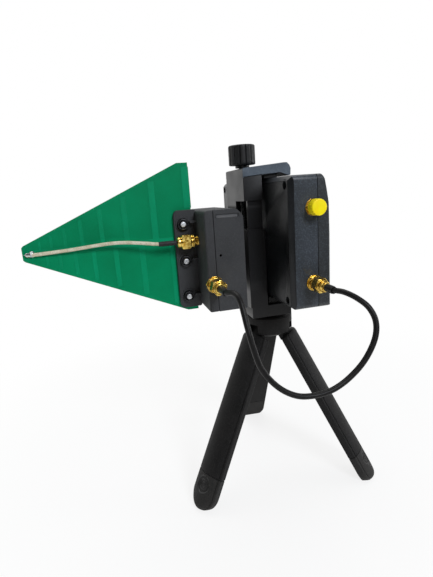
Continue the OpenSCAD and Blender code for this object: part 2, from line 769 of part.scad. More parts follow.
module module_right_shell() {
    w = mod_wall;
    color("#37383b") difference() {
        union() {
            difference() {
                module_body(mod_split + 0.05, mod_x1, 0, mod_y, mod_y1);
                module_body(mod_split - 1, mod_x1 - w, w, mod_y + w, mod_y1 - w);
            }
            // boss behind the bracket screws
            block([mod_x1 - 5, bracket_y[0] - 2, bracket_z[0]], [mod_x1 - 0.5, mod_y1 - 1, bracket_z[1]]);
        }
        rod_y([out_x, mod_y + 6, out_z], thread_r + run, 8);
        rod_y([out_x, mod_y + 9, out_z], 4.8, 7);
        // shallow ledge under the top edge of the front
        block([mod_split + 1, mod_y - 1, mod_top - 4.4], [mod_x1 - 2.4, mod_y + 0.5, mod_top - 2.6]);
        // test hole in the front
        rod_y([mod_split + 2.8, mod_y + w + 1, mod_z + 32], 0.7, w + 2);
        for (z = [bracket_z[0] + 6, bracket_z[1] - 6])
            rod_x([mod_x1 - 6, bracket_y[0] + 3.5, z], 1.2, 8);
    }
}

module module_board() {
    color("#1d6b3a") block([mod_split + 1.2, mod_y + 12, mod_z + 4], [mod_split + 2.8, mod_y1 - 4, mod_top - 6]);
}

module module_jack_out() {
    color("#c8a24a") translate([out_x, mod_y, out_z]) jack(mod_wall, thread_out, body_in);
}

module module_jack_in() {
    color("#c8a24a") translate([mod_x, in_y, in_z]) rotate([0, 0, -90]) jack(mod_wall, thread_out, 3);
}

module module_jack_nuts() {
    color("#c8a24a") {
        translate([out_x, mod_y, out_z]) jack_nut();
        translate([mod_x - in_nut_out, in_y, in_z]) rotate([0, 0, -90]) jack_nut();
    }
}

module flange_bolts() {
    color("#c9c9c7") for (z = bolt_zs) {
        rod_y([bolt_x, board_y + board_t + copper_t + 0.05, z], bolt_r, flange_t + board_t + 3.4);
        rod_y([bolt_x, board_y + board_t + copper_t + 1.85, z], 2.8, 1.8);
    }
}

module flange_nuts() {
    color("#202022") for (z = bolt_zs) difference() {
        rod_y([bolt_x, flange_y + 0.15, z], boss_r - 0.1, boss_t + 0.8);
        rod_y([bolt_x, flange_y + 2, z], bolt_r, boss_t + 6);
    }
}

module module_bracket() {
    y0 = bracket_y[0];
    y1 = bracket_y[1];
    x1 = col_x + 0;
    color("#303133") difference() {
        union() {
            block([mod_x1 + 0.05, y0, bracket_z[0]], [mod_x1 + 3, y1, bracket_z[1]]);
            block([mod_x1 + 1, y1 - 3, bracket_z[0]], [x1 - 0.05, y1, bracket_z[1]]);
            block([x1 - 3, -6, bracket_z[0]], [x1 - 0.05, y1, bracket_z[0] + 6]);
        }
        for (z = [bracket_z[0] + 6, bracket_z[1] - 6]) rod_x([mod_x1 - 1, y0 + 3.5, z], 1.3, 6);
    }
}

module bracket_screws() {
    color("#3b3b3d") for (z = [bracket_z[0] + 6, bracket_z[1] - 6]) {
        rod_x([mod_x1 - 4, bracket_y[0] + 3.5, z], 1.15, 7.2);
        rod_x([mod_x1 + 3, bracket_y[0] + 3.5, z], 2.4, 1.6);
    }
}

// ---- antenna ----

module antenna_board() {
    flat_x = board_x1 - board_flat;
    color("#00794b") difference() {
        translate([0, board_y + board_t, 0]) rotate([90, 0, 0]) linear_extrude(board_t) polygon([
            [board_x0 + 1, board_z - tip_h / 2], [flat_x, board_z - board_h / 2], [board_x1, board_z - board_h / 2],
            [board_x1, board_z + board_h / 2], [flat_x, board_z + board_h / 2], [board_x0 + 1, board_z + tip_h / 2],
            [board_x0, board_z + tip_h / 2 - 1], [board_x0, board_z - tip_h / 2 + 1]]);
        for (z = bolt_zs) rod_y([bolt_x, board_y + board_t + 1, z], bolt_r + 0.1, board_t + 2);
    }
}

// boom and every second arm up, the others down; side 0 is the front
module copper(side) {
    y0 = side == 0 ? board_y - copper_t : board_y + board_t;
    difference() {
        union() {
            block([board_x0 + 2.5, y0, board_z - boom_w / 2], [board_x1 - 0.8, y0 + copper_t, board_z + boom_w / 2]);
            for (n = [0 : dipoles - 1]) {
                s = (n + side) % 2 == 0 ? 1 : -1;
                h = edge_h(dip_x(n)) - 2.4;
                z = [board_z, board_z + s * h];
                block([dip_x(n) - dip_w(n) / 2, y0, min(z)], [dip_x(n) + dip_w(n) / 2, y0 + copper_t, max(z)]);
            }
        }
        for (z = bolt_zs) rod_y([bolt_x, board_y + board_t + 2, z], bolt_r + 0.9, board_t + 4);
        if (side == 0) block([flange_x - 0.3, flange_y - 1, flange_z - 1], [board_x1 + 1, board_y + e, flange_z + flange_h + 1]);
    }
}

module copper_front() { color("#008a5c") copper(0); }
module copper_back() { color("#008a5c") copper(1); }

module tip_solder() {
    color("#c9ccd0") intersection() {
        translate([coax_path[0][0] + 0.8, board_y - copper_t - 0.4, board_z]) scale([1.5, 1.1, 1.4])
            rotate([90, 0, 0]) rotate_extrude() intersection() {
                circle(r = 1.3);
                translate([0, -2]) square(4);
            }
        block([board_x0, board_y - 6, board_z - 5], [board_x1, board_y - copper_t, board_z + 5]);
    }
}

module feed_coax() {
    color("#e9e2cf") difference() {
        tube_along(smooth(coax_path, 3), coax_d, 8);
        block([board_x0 - 2, board_y - 8, board_z - 8], [coax_path[0][0] + 3, board_y, board_z + 8]);
    }
}

module feed_sleeve() {
    x = mod_x - plug_end;
    color("#161616") difference() {
        rod_x([x - 7.4, in_y, in_z], 1.9, 7.3);
        rod_x([x - 9, in_y, in_z], coax_d / 2 + 0.15, 12);
    }
}

// body of a coaxial plug along -Y; the wall it plugs into is at y = 0
module plug(l) {
    difference() {
        union() {
            translate([0, -plug_start - plug_l + 1.2, 0]) rotate([90, 0, 0]) cylinder(r = ferrule_r, h = ferrule_l + 1.2 - 2);
            translate([0, -plug_start - plug_l + 0.05, 0]) rotate([90, 0, 0]) cylinder(r = 3.1, h = 1.2);
            translate([0, -thread_out - 0.2, 0]) rotate([90, 0, 0]) cylinder(r = 2.9, h = plug_start + plug_l - thread_out);
        }
        translate([0, -plug_end + 1.4, 0]) rotate([90, 0, 0]) cylinder(r = l / 2, h = 6);
    }
}

// coupling nut of a plug
module coupling_nut() {
    translate([0, -plug_start, 0]) rotate([90, 0, 0]) difference() {
        hex_bar(nut_af, plug_l - 0.2);
        translate([0, 0, -1]) cylinder(r = thread_r + run, h = thread_out - plug_start + 1.3);
        translate([0, 0, -1]) cylinder(r = 2.95, h = plug_l + 2);
    }
}

module feed_plug() {
    color("#c8a24a") translate([mod_x, in_y, in_z]) rotate([0, 0, -90]) plug(coax_d + 0.3);
}

module feed_nut() {
    color("#c8a24a") translate([mod_x, in_y, in_z]) rotate([0, 0, -90]) coupling_nut();
}

// ---- jumper ----

module jumper_cable() {
    color("#2b2b2c") tube_along(smooth(jumper_path, 3), cable_d, 8);
}

module jumper_sleeve(p) {
    translate(p) rotate([90, 0, 0]) difference() {
        cylinder(r = 2.2, h = sleeve_l);
        translate([0, 0, -1]) cylinder(r = cable_d / 2 + 0.2, h = sleeve_l + 2);
    }
}

module jumper_sleeve_module() { color("#161616") jumper_sleeve([out_x, mod_y - plug_end - 0.1, out_z]); }
module jumper_sleeve_meter() { color("#161616") jumper_sleeve([jx, meter_y - plug_end - 0.1, jack_zs[0]]); }
module jumper_plug_module() { color("#c8a24a") translate([out_x, mod_y, out_z]) plug(cable_d + 0.3); }
module jumper_plug_meter() { color("#c8a24a") translate([jx, meter_y, jack_zs[0]]) plug(cable_d + 0.3); }
module jumper_nut_module() { color("#c8a24a") translate([out_x, mod_y, out_z]) coupling_nut(); }
module jumper_nut_meter() { color("#c8a24a") translate([jx, meter_y, jack_zs[0]]) coupling_nut(); }

// puts the origin under the middle of the whole object
module placed() {
    translate([shift_x, shift_y, 0]) children();
}

placed() tripod_hub();
placed() hub_pad();
placed() tripod_screw();
placed() leg_left();
placed() leg_right();
placed() leg_rear();
placed() foot_left();
placed() foot_right();
placed() foot_rear();
placed() leg_pins();
placed() clamp_frame();
placed() nut_insert();
placed() upper_jaw();
placed() jaw_pad();
placed() base_pad();
placed() lead_screw();
placed() clamp_knob();
placed() knob_collar();
placed() meter_back_shell();
placed() meter_front_shell();
placed() display_window();
placed() display_panel();
placed() meter_board();
placed() battery();
placed() meter_jack_upper();
placed() meter_jack_lower();
placed() meter_jack_nuts();
placed() dust_cap();
placed() case_screws();
placed() power_switch();
placed() jog_switch();
placed() module_left_shell();
placed() module_right_shell();
placed() module_board();
placed() module_jack_in();
placed() module_jack_out();
placed() module_jack_nuts();
placed() flange_bolts();
placed() flange_nuts();
placed() module_bracket();
placed() bracket_screws();
placed() antenna_board();
placed() copper_front();
placed() copper_back();
placed() tip_solder();
placed() feed_coax();
placed() feed_sleeve();
placed() feed_plug();
placed() feed_nut();
placed() jumper_cable();
placed() jumper_sleeve_module();
placed() jumper_sleeve_meter();
placed() jumper_plug_module();
placed() jumper_plug_meter();
placed() jumper_nut_module();
placed() jumper_nut_meter();
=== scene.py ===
import math

import bmesh
import bpy
import numpy as np
from mathutils import Matrix, Vector


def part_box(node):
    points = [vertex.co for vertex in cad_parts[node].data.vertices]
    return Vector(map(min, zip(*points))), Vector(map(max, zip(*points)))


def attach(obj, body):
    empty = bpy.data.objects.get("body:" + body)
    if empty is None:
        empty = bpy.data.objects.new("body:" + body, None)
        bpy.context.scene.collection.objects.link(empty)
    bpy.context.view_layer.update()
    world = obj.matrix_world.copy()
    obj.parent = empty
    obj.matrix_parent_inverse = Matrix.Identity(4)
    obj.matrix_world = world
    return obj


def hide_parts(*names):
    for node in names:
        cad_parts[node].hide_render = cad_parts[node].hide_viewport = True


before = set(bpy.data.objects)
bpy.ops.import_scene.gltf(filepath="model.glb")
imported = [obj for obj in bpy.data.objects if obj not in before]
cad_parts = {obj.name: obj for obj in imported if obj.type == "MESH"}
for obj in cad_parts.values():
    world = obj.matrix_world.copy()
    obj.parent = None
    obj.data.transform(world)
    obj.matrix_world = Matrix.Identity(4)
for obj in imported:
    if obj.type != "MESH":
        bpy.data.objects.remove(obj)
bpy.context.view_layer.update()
print("stage: frame loaded,", len(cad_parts), "nodes")

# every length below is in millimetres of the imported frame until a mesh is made
metre = 1000.0
frameShift = np.array([43.4, -8.65, 0.0])  # from the source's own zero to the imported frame


def fromSource(points):
    # a point of the part's source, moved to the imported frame
    return np.asarray(points, float) + frameShift


def boxOf(*nodes):
    # lowest and highest corner of these CAD nodes together, in mm
    lows, highs = zip(*(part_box(node) for node in nodes))
    return np.min(np.array(lows), 0) * metre, np.max(np.array(highs), 0) * metre


# ---- camera ----

cameraView = {
    "place": (-0.05916, -0.27329, 0.20648),
    "turn": 14.01,  # towards +X, degrees
    "dip": 13.04,  # below the horizon, degrees
    "roll": -4.01,
    "lens": 25.47,
    "shiftY": -0.002,
}


def makeCamera(view):
    # forward from turn and dip; right and up are then rolled about forward
    turn, dip, roll = (math.radians(view[k]) for k in ("turn", "dip", "roll"))
    forward = Vector((math.sin(turn) * math.cos(dip), math.cos(turn) * math.cos(dip), -math.sin(dip)))
    level = Vector((math.cos(turn), -math.sin(turn), 0))
    upright = level.cross(forward)
    right = math.cos(roll) * level + math.sin(roll) * upright
    up = -math.sin(roll) * level + math.cos(roll) * upright
    data = bpy.data.cameras.new("camera")
    data.lens = view["lens"]
    data.sensor_width = 36
    data.shift_y = view["shiftY"]
    data.clip_start = 0.01
    camera = bpy.data.objects.new("camera", data)
    camera.matrix_world = Matrix((
        (right.x, up.x, -forward.x, view["place"][0]),
        (right.y, up.y, -forward.y, view["place"][1]),
        (right.z, up.z, -forward.z, view["place"][2]),
        (0, 0, 0, 1)))
    bpy.context.scene.collection.objects.link(camera)
    bpy.context.scene.camera = camera


makeCamera(cameraView)
print("stage: camera")


# ---- materials ----

def toLinear(hexColour):
    # sRGB hex to a linear RGBA tuple
    parts = np.array([int(hexColour[i:i + 2], 16) for i in (1, 3, 5)]) / 255
    linear = np.where(parts <= 0.04045, parts / 12.92, ((parts + 0.055) / 1.055) ** 2.4)
    return (*linear.tolist(), 1.0)


def fill(tree, node, inputs):
    # links each input that is given a socket, and sets each that is given a value
    for key, value in inputs.items():
        if isinstance(value, bpy.types.NodeSocket):
            tree.links.new(value, node.inputs[key])
        else:
            node.inputs[key].default_value = value


def addNode(tree, kind, inputs=None, **settings):
    # adds a node, sets its settings, and fills or links its inputs
    node = tree.nodes.new(kind)
    for key, value in settings.items():
        setattr(node, key, value)
    fill(tree, node, inputs or {})
    return node


def newMaterial(name):
    material = bpy.data.materials.new(name)
    material.use_nodes = True
    tree = material.node_tree
    tree.nodes.clear()
    output = addNode(tree, "ShaderNodeOutputMaterial")
    shader = addNode(tree, "ShaderNodeBsdfPrincipled")
    tree.links.new(shader.outputs[0], output.inputs[0])
    place = addNode(tree, "ShaderNodeTexCoord").outputs["Object"]
    return material, tree, shader, place


def perMillimetre(size):
    # noise scale that gives features of this many mm, as Object coordinates are in metres
    return metre / size


def toneBetween(tree, value, low, high, first, second, most=1.0):
    # colour that goes from the first towards the second, by this share at most, as the value
    # rises from low to high; each colour is a hex value or a socket
    first, second = (toLinear(colour) if isinstance(colour, str) else colour for colour in (first, second))
    share = addNode(tree, "ShaderNodeMapRange", {
        "Value": value, "From Min": low, "From Max": high, "To Max": most})
    mix = addNode(tree, "ShaderNodeMix", {"Factor": share.outputs[0], "A": first, "B": second},
                  data_type="RGBA")
    return mix.outputs["Result"]


def moulded(name, look):
    # injection-moulded plastic: a spark-eroded grain catches the light as fine speckle,
    # flow and handling leave broad, faint changes of tone and gloss
    material, tree, shader, place = newMaterial(name)
    grain, broad = (addNode(tree, "ShaderNodeTexNoise", {
        "Vector": place, "Scale": perMillimetre(look[size]), "Detail": detail,
        "Roughness": share}).outputs["Fac"]
        for size, detail, share in (("grain", 2.0, 0.6), ("broad", 3.0, 0.55)))
    rough = addNode(tree, "ShaderNodeMapRange", {
        "Value": broad, "From Min": 0.3, "From Max": 0.7,
        "To Min": look["gloss"][0], "To Max": look["gloss"][1]}).outputs[0]
    if "rubbed" in look:
        # roughness = the larger of the moulded one and a rise over a height in mm
        low, high, most = look["rubbed"]
        height = addNode(tree, "ShaderNodeSeparateXYZ", {"Vector": place}).outputs["Z"]
        rise = addNode(tree, "ShaderNodeMapRange", {
            "Value": height, "From Min": low / metre, "From Max": high / metre, "To Max": most})
        rough = addNode(tree, "ShaderNodeMath", {0: rough, 1: rise.outputs[0]},
                        operation="MAXIMUM").outputs[0]
    base = toneBetween(tree, broad, 0.32, 0.68, look["dark"], look["light"])
    bump = addNode(tree, "ShaderNodeBump", {
        "Height": grain, "Strength": look["relief"], "Distance": look["grain"] * 0.12 / metre})
    fill(tree, shader, {
        "Base Color": toneBetween(tree, grain, 0.5, 0.72, base, look["speckle"], look["fleck"]),
        "Roughness": rough, "Normal": bump.outputs[0],
        "IOR": look.get("ior", 1.5), "Specular IOR Level": look.get("shine", 0.5)})
    return material


# glass-filled nylon of the tripod; the true grain is about 0.1 mm, drawn at 0.7 to show
tripodNylon = moulded("nylonMouldedTripod", {
    "dark": "#131313", "light": "#1c1b1b", "speckle": "#333231", "fleck": 0.5, "grain": 0.7,
    "broad": 14, "gloss": (0.54, 0.68), "relief": 0.5, "shine": 0.16})
# glossier nylon of the hand knob
knobNylon = moulded("nylonMouldedKnob", {
    "dark": "#181819", "light": "#212223", "speckle": "#353536", "fleck": 0.4, "grain": 0.6,
    "broad": 6, "gloss": (0.44, 0.54), "relief": 0.3, "shine": 0.3})
# thermoplastic rubber of the feet: dull, slightly greyer, dust in its grain
footRubber = moulded("rubberMouldedFeet", {
    "dark": "#161615", "light": "#201f1e", "speckle": "#3a3733", "fleck": 0.4, "grain": 0.9,
    "broad": 8, "gloss": (0.66, 0.8), "relief": 0.5, "shine": 0.35})
# acetal clamp, semi-gloss: dark from the front, pale at a glancing view
clampLook = {
    "dark": "#08080a", "light": "#0e0e10", "speckle": "#1d1d1e", "fleck": 0.3, "grain": 0.8,
    "broad": 18, "gloss": (0.3, 0.42), "relief": 0.25, "ior": 1.48, "shine": 0.36}
clampAcetal = moulded("acetalMouldedClamp", clampLook)
# the slide bars of the jaw are rubbed dull below its block
jawAcetal = moulded("acetalMouldedJaw", {**clampLook, "rubbed": (199, 195, 0.85)})
# the frame's column is rubbed dull by the sliding jaw, above its base
frameAcetal = moulded("acetalMouldedFrame", {**clampLook, "rubbed": (134, 150, 0.85)})
# textured upper arm of the jaw, bluish where its grain scatters light
armNylon = moulded("nylonMouldedArm", {
    "dark": "#454f5a", "light": "#55616d", "speckle": "#6d7984", "fleck": 0.4, "grain": 0.9,
    "broad": 10, "gloss": (0.45, 0.6), "relief": 0.4})
# silicone pads that grip the meter
padRubber = moulded("siliconeMouldedPads", {
    "dark": "#0e0e0f", "light": "#151516", "speckle": "#202021", "fleck": 0.3, "grain": 0.8,
    "broad": 9, "gloss": (0.6, 0.75), "relief": 0.3, "shine": 0.3})
# ABS meter case, blue-black with a spark-eroded speckle
meterAbs = moulded("absMouldedMeterBack", {
    "dark": "#21262b", "light": "#2d333b", "speckle": "#4f5963", "fleck": 0.55, "grain": 0.8,
    "broad": 26, "gloss": (0.36, 0.48), "relief": 0.5})
# the back, its bevels and its screw pockets: painted shade, darker and a little smoother
meterBackShadeAbs = moulded("absShadedMeterBack", {
    "dark": "#101214", "light": "#191b1e", "speckle": "#2c2f32", "fleck": 0.4, "grain": 0.8,
    "broad": 20, "gloss": (0.34, 0.46), "relief": 0.3, "shine": 0.4})
# its front half: the same grain, darker and less blue
meterFrontAbs = moulded("absMouldedMeterFront", {
    "dark": "#1b1e20", "light": "#23272b", "speckle": "#4a5158", "fleck": 0.5, "grain": 0.8,
    "broad": 26, "gloss": (0.36, 0.48), "relief": 0.5})
# ABS module case, neutral dark grey, matte
moduleAbs = moulded("absMouldedModule", {
    "dark": "#333436", "light": "#3b3c3e", "speckle": "#4d4e50", "fleck": 0.25, "grain": 0.8,
    "broad": 16, "gloss": (0.6, 0.72), "relief": 0.25, "shine": 0.25})
# its lip: the same plastic, glossier, and painted lighter as a highlight where the sloping lip catches the
# light
lipHighlightAbs = moulded("absPaintedHighlightLip", {
    "dark": "#4c4d4f", "light": "#58595b", "speckle": "#696a6c", "fleck": 0.3, "grain": 0.8,
    "broad": 8, "gloss": (0.4, 0.5), "relief": 0.25})
# acetal buttons of the meter
buttonAcetal = moulded("acetalMouldedButtons", {
    "dark": "#17181a", "light": "#1e1f21", "speckle": "#2c2d2f", "fleck": 0.3, "grain": 0.7,
    "broad": 5, "gloss": (0.35, 0.45), "relief": 0.3})
# soft vinyl dust cap, yellow right through
capVinyl = moulded("vinylMouldedCap", {
    "dark": "#ffe200", "light": "#fff000", "speckle": "#fff400", "fleck": 0.3, "grain": 0.9,
    "broad": 4, "gloss": (0.42, 0.55), "relief": 0.3, "shine": 0.3})
# heat-shrink polyolefin: satin, with faint lengthwise tension marks
shrinkTube = moulded("polyolefinShrunkSleeve", {
    "dark": "#0f0f0f", "light": "#171717", "speckle": "#262626", "fleck": 0.3, "grain": 0.8,
    "broad": 3, "gloss": (0.45, 0.6), "relief": 0.35, "shine": 0.4})


def metal(name, dark, light, marks, gloss):
    # turned or plated metal: tool marks of this size in mm and handling leave brighter and
    # duller patches
    material, tree, shader, place = newMaterial(name)
    patch = addNode(tree, "ShaderNodeTexNoise", {
        "Vector": place, "Scale": perMillimetre(marks), "Detail": 2.0}).outputs["Fac"]
    rough = addNode(tree, "ShaderNodeMapRange", {
        "Value": patch, "From Min": 0.3, "From Max": 0.7, "To Min": gloss[0], "To Max": gloss[1]})
    bump = addNode(tree, "ShaderNodeBump", {
        "Height": patch, "Strength": 0.08, "Distance": marks * 0.02 / metre})
    fill(tree, shader, {
        "Base Color": toneBetween(tree, patch, 0.35, 0.65, dark, light),
        "Roughness": rough.outputs[0], "Normal": bump.outputs[0], "Metallic": 1.0})
    return material


# gold flash over brass on the coaxial connectors: bright, with brownish wear
goldPlate = metal("brassGoldPlated", "#bf9436", "#f6d97a", 1.6, (0.2, 0.3))
# bare brass of the threaded insert
bareBrass = metal("brassTurned", "#8f6f30", "#c2a05a", 1.2, (0.3, 0.42))
# zinc-plated steel of the tripod screw and pins
zincSteel = metal("steelZincPlated", "#8b8c8e", "#b9babc", 1.0, (0.28, 0.4))
# phosphated steel of the lead screw, worn bright in patches
phosphateSteel = metal("steelPhosphated", "#2c2c2d", "#626365", 0.9, (0.32, 0.45))
# black-oxide screws: dark metal that still has a gloss
oxideSteel = metal("steelBlackOxide", "#2a2a2b", "#454547", 0.8, (0.35, 0.5))
# cut ends of the nickel-plated flange bolts, sanded bright
boltNickel = metal("steelNickelPlated", "#c3c7cb", "#eceef0", 0.7, (0.4, 0.55))
# tin-lead solder: white metal with dull frost
tinSolder = metal("solderTinLead", "#a9acaf", "#e6e8ea", 0.5, (0.2, 0.4))
# aluminised foil pouch of the cell
cellFoil = metal("foilAluminised", "#85898d", "#b3b6ba", 4.0, (0.3, 0.5))


def solderMask(name, look):
    # green solder mask over glass-epoxy: a thin gloss coat, with the coat's uneven thickness and
    # the 0.5 mm glass weave just showing, drawn at 0.9 mm; faces turned away from the board's face,
    # found by the normal, take the edge tone: bare sawn epoxy on the boards' edges, painted shade
    # along the sides of the copper traces
    material, tree, shader, place = newMaterial(name)
    cloud = addNode(tree, "ShaderNodeTexNoise", {
        "Vector": place, "Scale": perMillimetre(look["cloud"]), "Detail": 3.0}).outputs["Fac"]
    weave = addNode(tree, "ShaderNodeTexVoronoi", {
        "Vector": place, "Scale": perMillimetre(look["weave"])}).outputs["Distance"]
    coat = toneBetween(tree, cloud, 0.3, 0.7, look["dark"], look["light"])
    mask = toneBetween(tree, weave, 0.2, 0.7, coat, look["thread"], 0.16)
    normal = addNode(tree, "ShaderNodeNewGeometry").outputs["Normal"]
    across = addNode(tree, "ShaderNodeSeparateXYZ", {"Vector": normal}).outputs["Y"]
    flat = addNode(tree, "ShaderNodeMath", {0: across}, operation="ABSOLUTE").outputs[0]
    bump = addNode(tree, "ShaderNodeBump", {"Height": weave, "Strength": 0.12, "Distance": 0.03 / metre})
    fill(tree, shader, {
        "Base Color": toneBetween(tree, flat, 0.3, 0.6, look["edge"], mask),
        "Roughness": look["gloss"], "Specular IOR Level": look["shine"], "Normal": bump.outputs[0]})
    return material


antennaMask = solderMask("glassEpoxyMasked", {
    "dark": "#007a4e", "light": "#008a5b", "thread": "#009365", "edge": "#6f9a6a",
    "cloud": 26, "weave": 0.9, "gloss": 0.45, "shine": 0.08})
# mask over the etched copper: the metal below makes it paler and a little bluer; its dark edge
# tone is painted shade along the traces' sides
copperMask = solderMask("copperMasked", {
    "dark": "#008558", "light": "#009466", "thread": "#00a072", "edge": "#004a2f",
    "cloud": 20, "weave": 0.9, "gloss": 0.4, "shine": 0.12})
innerMask = solderMask("circuitMasked", {
    "dark": "#0d4a2a", "light": "#125a34", "thread": "#1c6a40", "edge": "#8a8a52",
    "cloud": 12, "weave": 0.8, "gloss": 0.4, "shine": 0.5})


def sheath(name, look):
    # extruded sheath of a lead: v of the UV map runs along it in mm, u once round it
    material, tree, shader, place = newMaterial(name)
    along = addNode(tree, "ShaderNodeUVMap", uv_map="lengthwise").outputs[0]
    stretch = addNode(tree, "ShaderNodeMapping", {"Vector": along, "Scale": look["stretch"]}).outputs[0]
    wrinkle = addNode(tree, "ShaderNodeTexNoise", {
        "Vector": stretch, "Scale": 1.0, "Detail": 2.0}).outputs["Fac"]
    patch = addNode(tree, "ShaderNodeTexNoise", {
        "Vector": place, "Scale": perMillimetre(look["patch"]), "Detail": 2.0}).outputs["Fac"]
    base = toneBetween(tree, patch, 0.35, 0.65, look["dark"], look["light"])
    bump = addNode(tree, "ShaderNodeBump", {
        "Height": wrinkle, "Strength": look["relief"], "Distance": 0.05 / metre})
    fill(tree, shader, {
        "Base Color": toneBetween(tree, wrinkle, 0.45, 0.7, base, look["speckle"], look["fleck"]),
        "Roughness": look["gloss"], "Specular IOR Level": look["shine"], "Normal": bump.outputs[0]})
    return material


# black PVC of the jumper: satin, slightly greyed by handling
jumperPvc = sheath("pvcExtrudedBlack", {
    "dark": "#0d0d0d", "light": "#141313", "speckle": "#262524", "fleck": 0.3, "patch": 6,
    "gloss": 0.44, "shine": 0.2, "relief": 0.12, "stretch": (6, 0.5, 1)})
# cream fluoropolymer of the feed coax; the braid below shows as a faint cast
feedFep = sheath("fepExtrudedCream", {
    "dark": "#d0c7ab", "light": "#e8e1ce", "speckle": "#94886a", "fleck": 0.5, "patch": 4,
    "gloss": 0.36, "shine": 0.4, "relief": 0.8, "stretch": (7, 1.4, 1)})


def clearSheet():
    # acrylic window over the display: clear, glossy, smoke-tinted
    material, tree, shader, place = newMaterial("acrylicCastWindow")
    smear = addNode(tree, "ShaderNodeTexNoise", {
        "Vector": place, "Scale": perMillimetre(18), "Detail": 3.0}).outputs["Fac"]
    rough = addNode(tree, "ShaderNodeMapRange", {
        "Value": smear, "From Min": 0.35, "From Max": 0.75, "To Min": 0.05, "To Max": 0.16})
    fill(tree, shader, {
        "Base Color": toneBetween(tree, smear, 0, 1, "#10141a", "#181d24"),
        "Roughness": rough.outputs[0], "IOR": 1.49, "Alpha": 0.85})
    return material


def darkPanel():
    # switched-off LCD: near-black glass with a faint blue cast and a fine cell grid
    material, tree, shader, place = newMaterial("glassDisplayOff")
    cells = addNode(tree, "ShaderNodeTexNoise", {
        "Vector": place, "Scale": perMillimetre(0.8), "Detail": 1.0}).outputs["Fac"]
    fill(tree, shader, {
        "Base Color": toneBetween(tree, cells, 0, 1, "#0b0f15", "#141a22"), "Roughness": 0.15})
    return material


windowAcrylic = clearSheet()
displayGlass = darkPanel()
print("stage: materials")


# ---- surfaces ----

def surface(points):
    # a grid of points, shaped rows x columns x 3, as (points, quads): quads between neighbouring
    # rows, and the last column joins the first
    rows, columns = points.shape[:2]
    row = np.arange(rows - 1)[:, None] * columns
    step = np.arange(columns)[None, :]
    right = (step + 1) % columns
    quads = np.stack([row + step, row + right, row + right + columns, row + step + columns], -1)
    return points.reshape(-1, 3), quads.reshape(-1, 4)


def joined(parts):
    # several (points, quads) as one
    counts = np.cumsum([0] + [len(points) for points, quads in parts[:-1]])
    return (np.concatenate([points for points, quads in parts]),
            np.concatenate([quads + count for (points, quads), count in zip(parts, counts)]))


def addObject(name, data):
    obj = bpy.data.objects.new(name, data)
    bpy.context.scene.collection.objects.link(obj)
    return obj


def placePiece(obj, body, material, replaced):
    # one material, the body it rides on, and the CAD nodes that it stands for
    obj.data.materials.clear()
    obj.data.materials.append(material)
    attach(obj, body)
    if replaced:
        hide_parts(*replaced)
    return obj


def makePiece(name, shape, body, material, replaced=(), sharp=36, uv=None):
    # (points, quads) in mm to a closed mesh in metres, its doubles merged and its faces turned outwards
    points, quads = shape
    mesh = bpy.data.meshes.new(name)
    mesh.from_pydata((points / metre).tolist(), [], quads.tolist())
    if uv is not None:
        layer = mesh.uv_layers.new(name="lengthwise")
        corner = np.zeros(len(mesh.loops), int)
        mesh.loops.foreach_get("vertex_index", corner)
        layer.data.foreach_set("uv", uv[corner].astype(np.float32).ravel())
    work = bmesh.new()
    work.from_mesh(mesh)
    bmesh.ops.remove_doubles(work, verts=work.verts, dist=2e-6)
    bmesh.ops.recalc_face_normals(work, faces=work.faces)
    work.to_mesh(mesh)
    work.free()
    mesh.shade_smooth()
    mesh.set_sharp_from_angle(angle=math.radians(sharp))
    return placePiece(addObject(name, mesh), body, material, replaced)


def aroundAxis(origin, axis, along, radius, twist=0.0):
    # point = origin + along * axis + radius * (cos(turn) * side + sin(turn) * other);
    # along has one value a row, radius one a row and turn
    axis = np.asarray(axis, float) / np.linalg.norm(axis)
    helper = np.array([0, 0, 1.0]) if abs(axis[2]) < 0.9 else np.array([1.0, 0, 0])
    side = np.cross(axis, helper)
    side /= np.linalg.norm(side)
    other = np.cross(axis, side)
    radius = np.atleast_2d(np.asarray(radius, float))
    turn = np.arange(radius.shape[1]) / radius.shape[1] * 2 * np.pi + twist
    rim = np.cos(turn)[:, None] * side + np.sin(turn)[:, None] * other
    along = np.asarray(along, float)[:, None, None]
    return surface(np.asarray(origin, float) + along * axis + radius[:, :, None] * rim[None])


def turned(origin, axis, profile, sides=64):
    # a profile of (radius, along) pairs turned about the axis, closed where the radius is 0
    radius, along = np.asarray(profile, float).T
    return aroundAxis(origin, axis, along, np.repeat(radius[:, None], sides, 1))


def filleted(corners, size, steps=5):
    # each inner corner of a profile becomes a parabola that leaves its sides at the given distance
    corners = np.asarray(corners, float)
    out = [corners[0]]
    share = np.linspace(0, 1, steps)[:, None]
    for before, here, after in zip(corners[:-2], corners[1:-1], corners[2:]):
        back, ahead = before - here, after - here
        reach = min(size, 0.45 * np.linalg.norm(back), 0.45 * np.linalg.norm(ahead))
        start = here + back / max(np.linalg.norm(back), 1e-9) * reach
        end = here + ahead / max(np.linalg.norm(ahead), 1e-9) * reach
        out.extend((1 - share) ** 2 * start + 2 * share * (1 - share) * here + share ** 2 * end)
    out.append(corners[-1])
    return np.array(out)


def hexNut(origin, axis, flats, length, bore, chamfer, twist=0.0, sides=96):
    # hexagon radius = flats / 2 / cos(turn within one side), cut at both ends by a turned cone;
    # the bore closes it on the inside
    turn = np.arange(sides) / sides * 2 * np.pi
    hexagon = flats / 2 / np.cos((turn % (np.pi / 3)) - np.pi / 6)
    rounded = chamfer * 1.6
    along = np.concatenate([np.linspace(0, rounded, 7), np.linspace(rounded, length - rounded, 40)[1:-1],
                            np.linspace(length - rounded, length, 7)])
    ends = np.minimum(along, length - along)
    cone = flats / 2 * 0.985 + np.sqrt(np.maximum(ends, 0)) * rounded
    radius = np.minimum(hexagon[None, :], cone[:, None])
    inside = np.full((1, sides), bore)
    return aroundAxis(origin, axis, np.concatenate([[0], along, [length], [0]]),
                      np.concatenate([inside, radius, inside, inside]), twist)


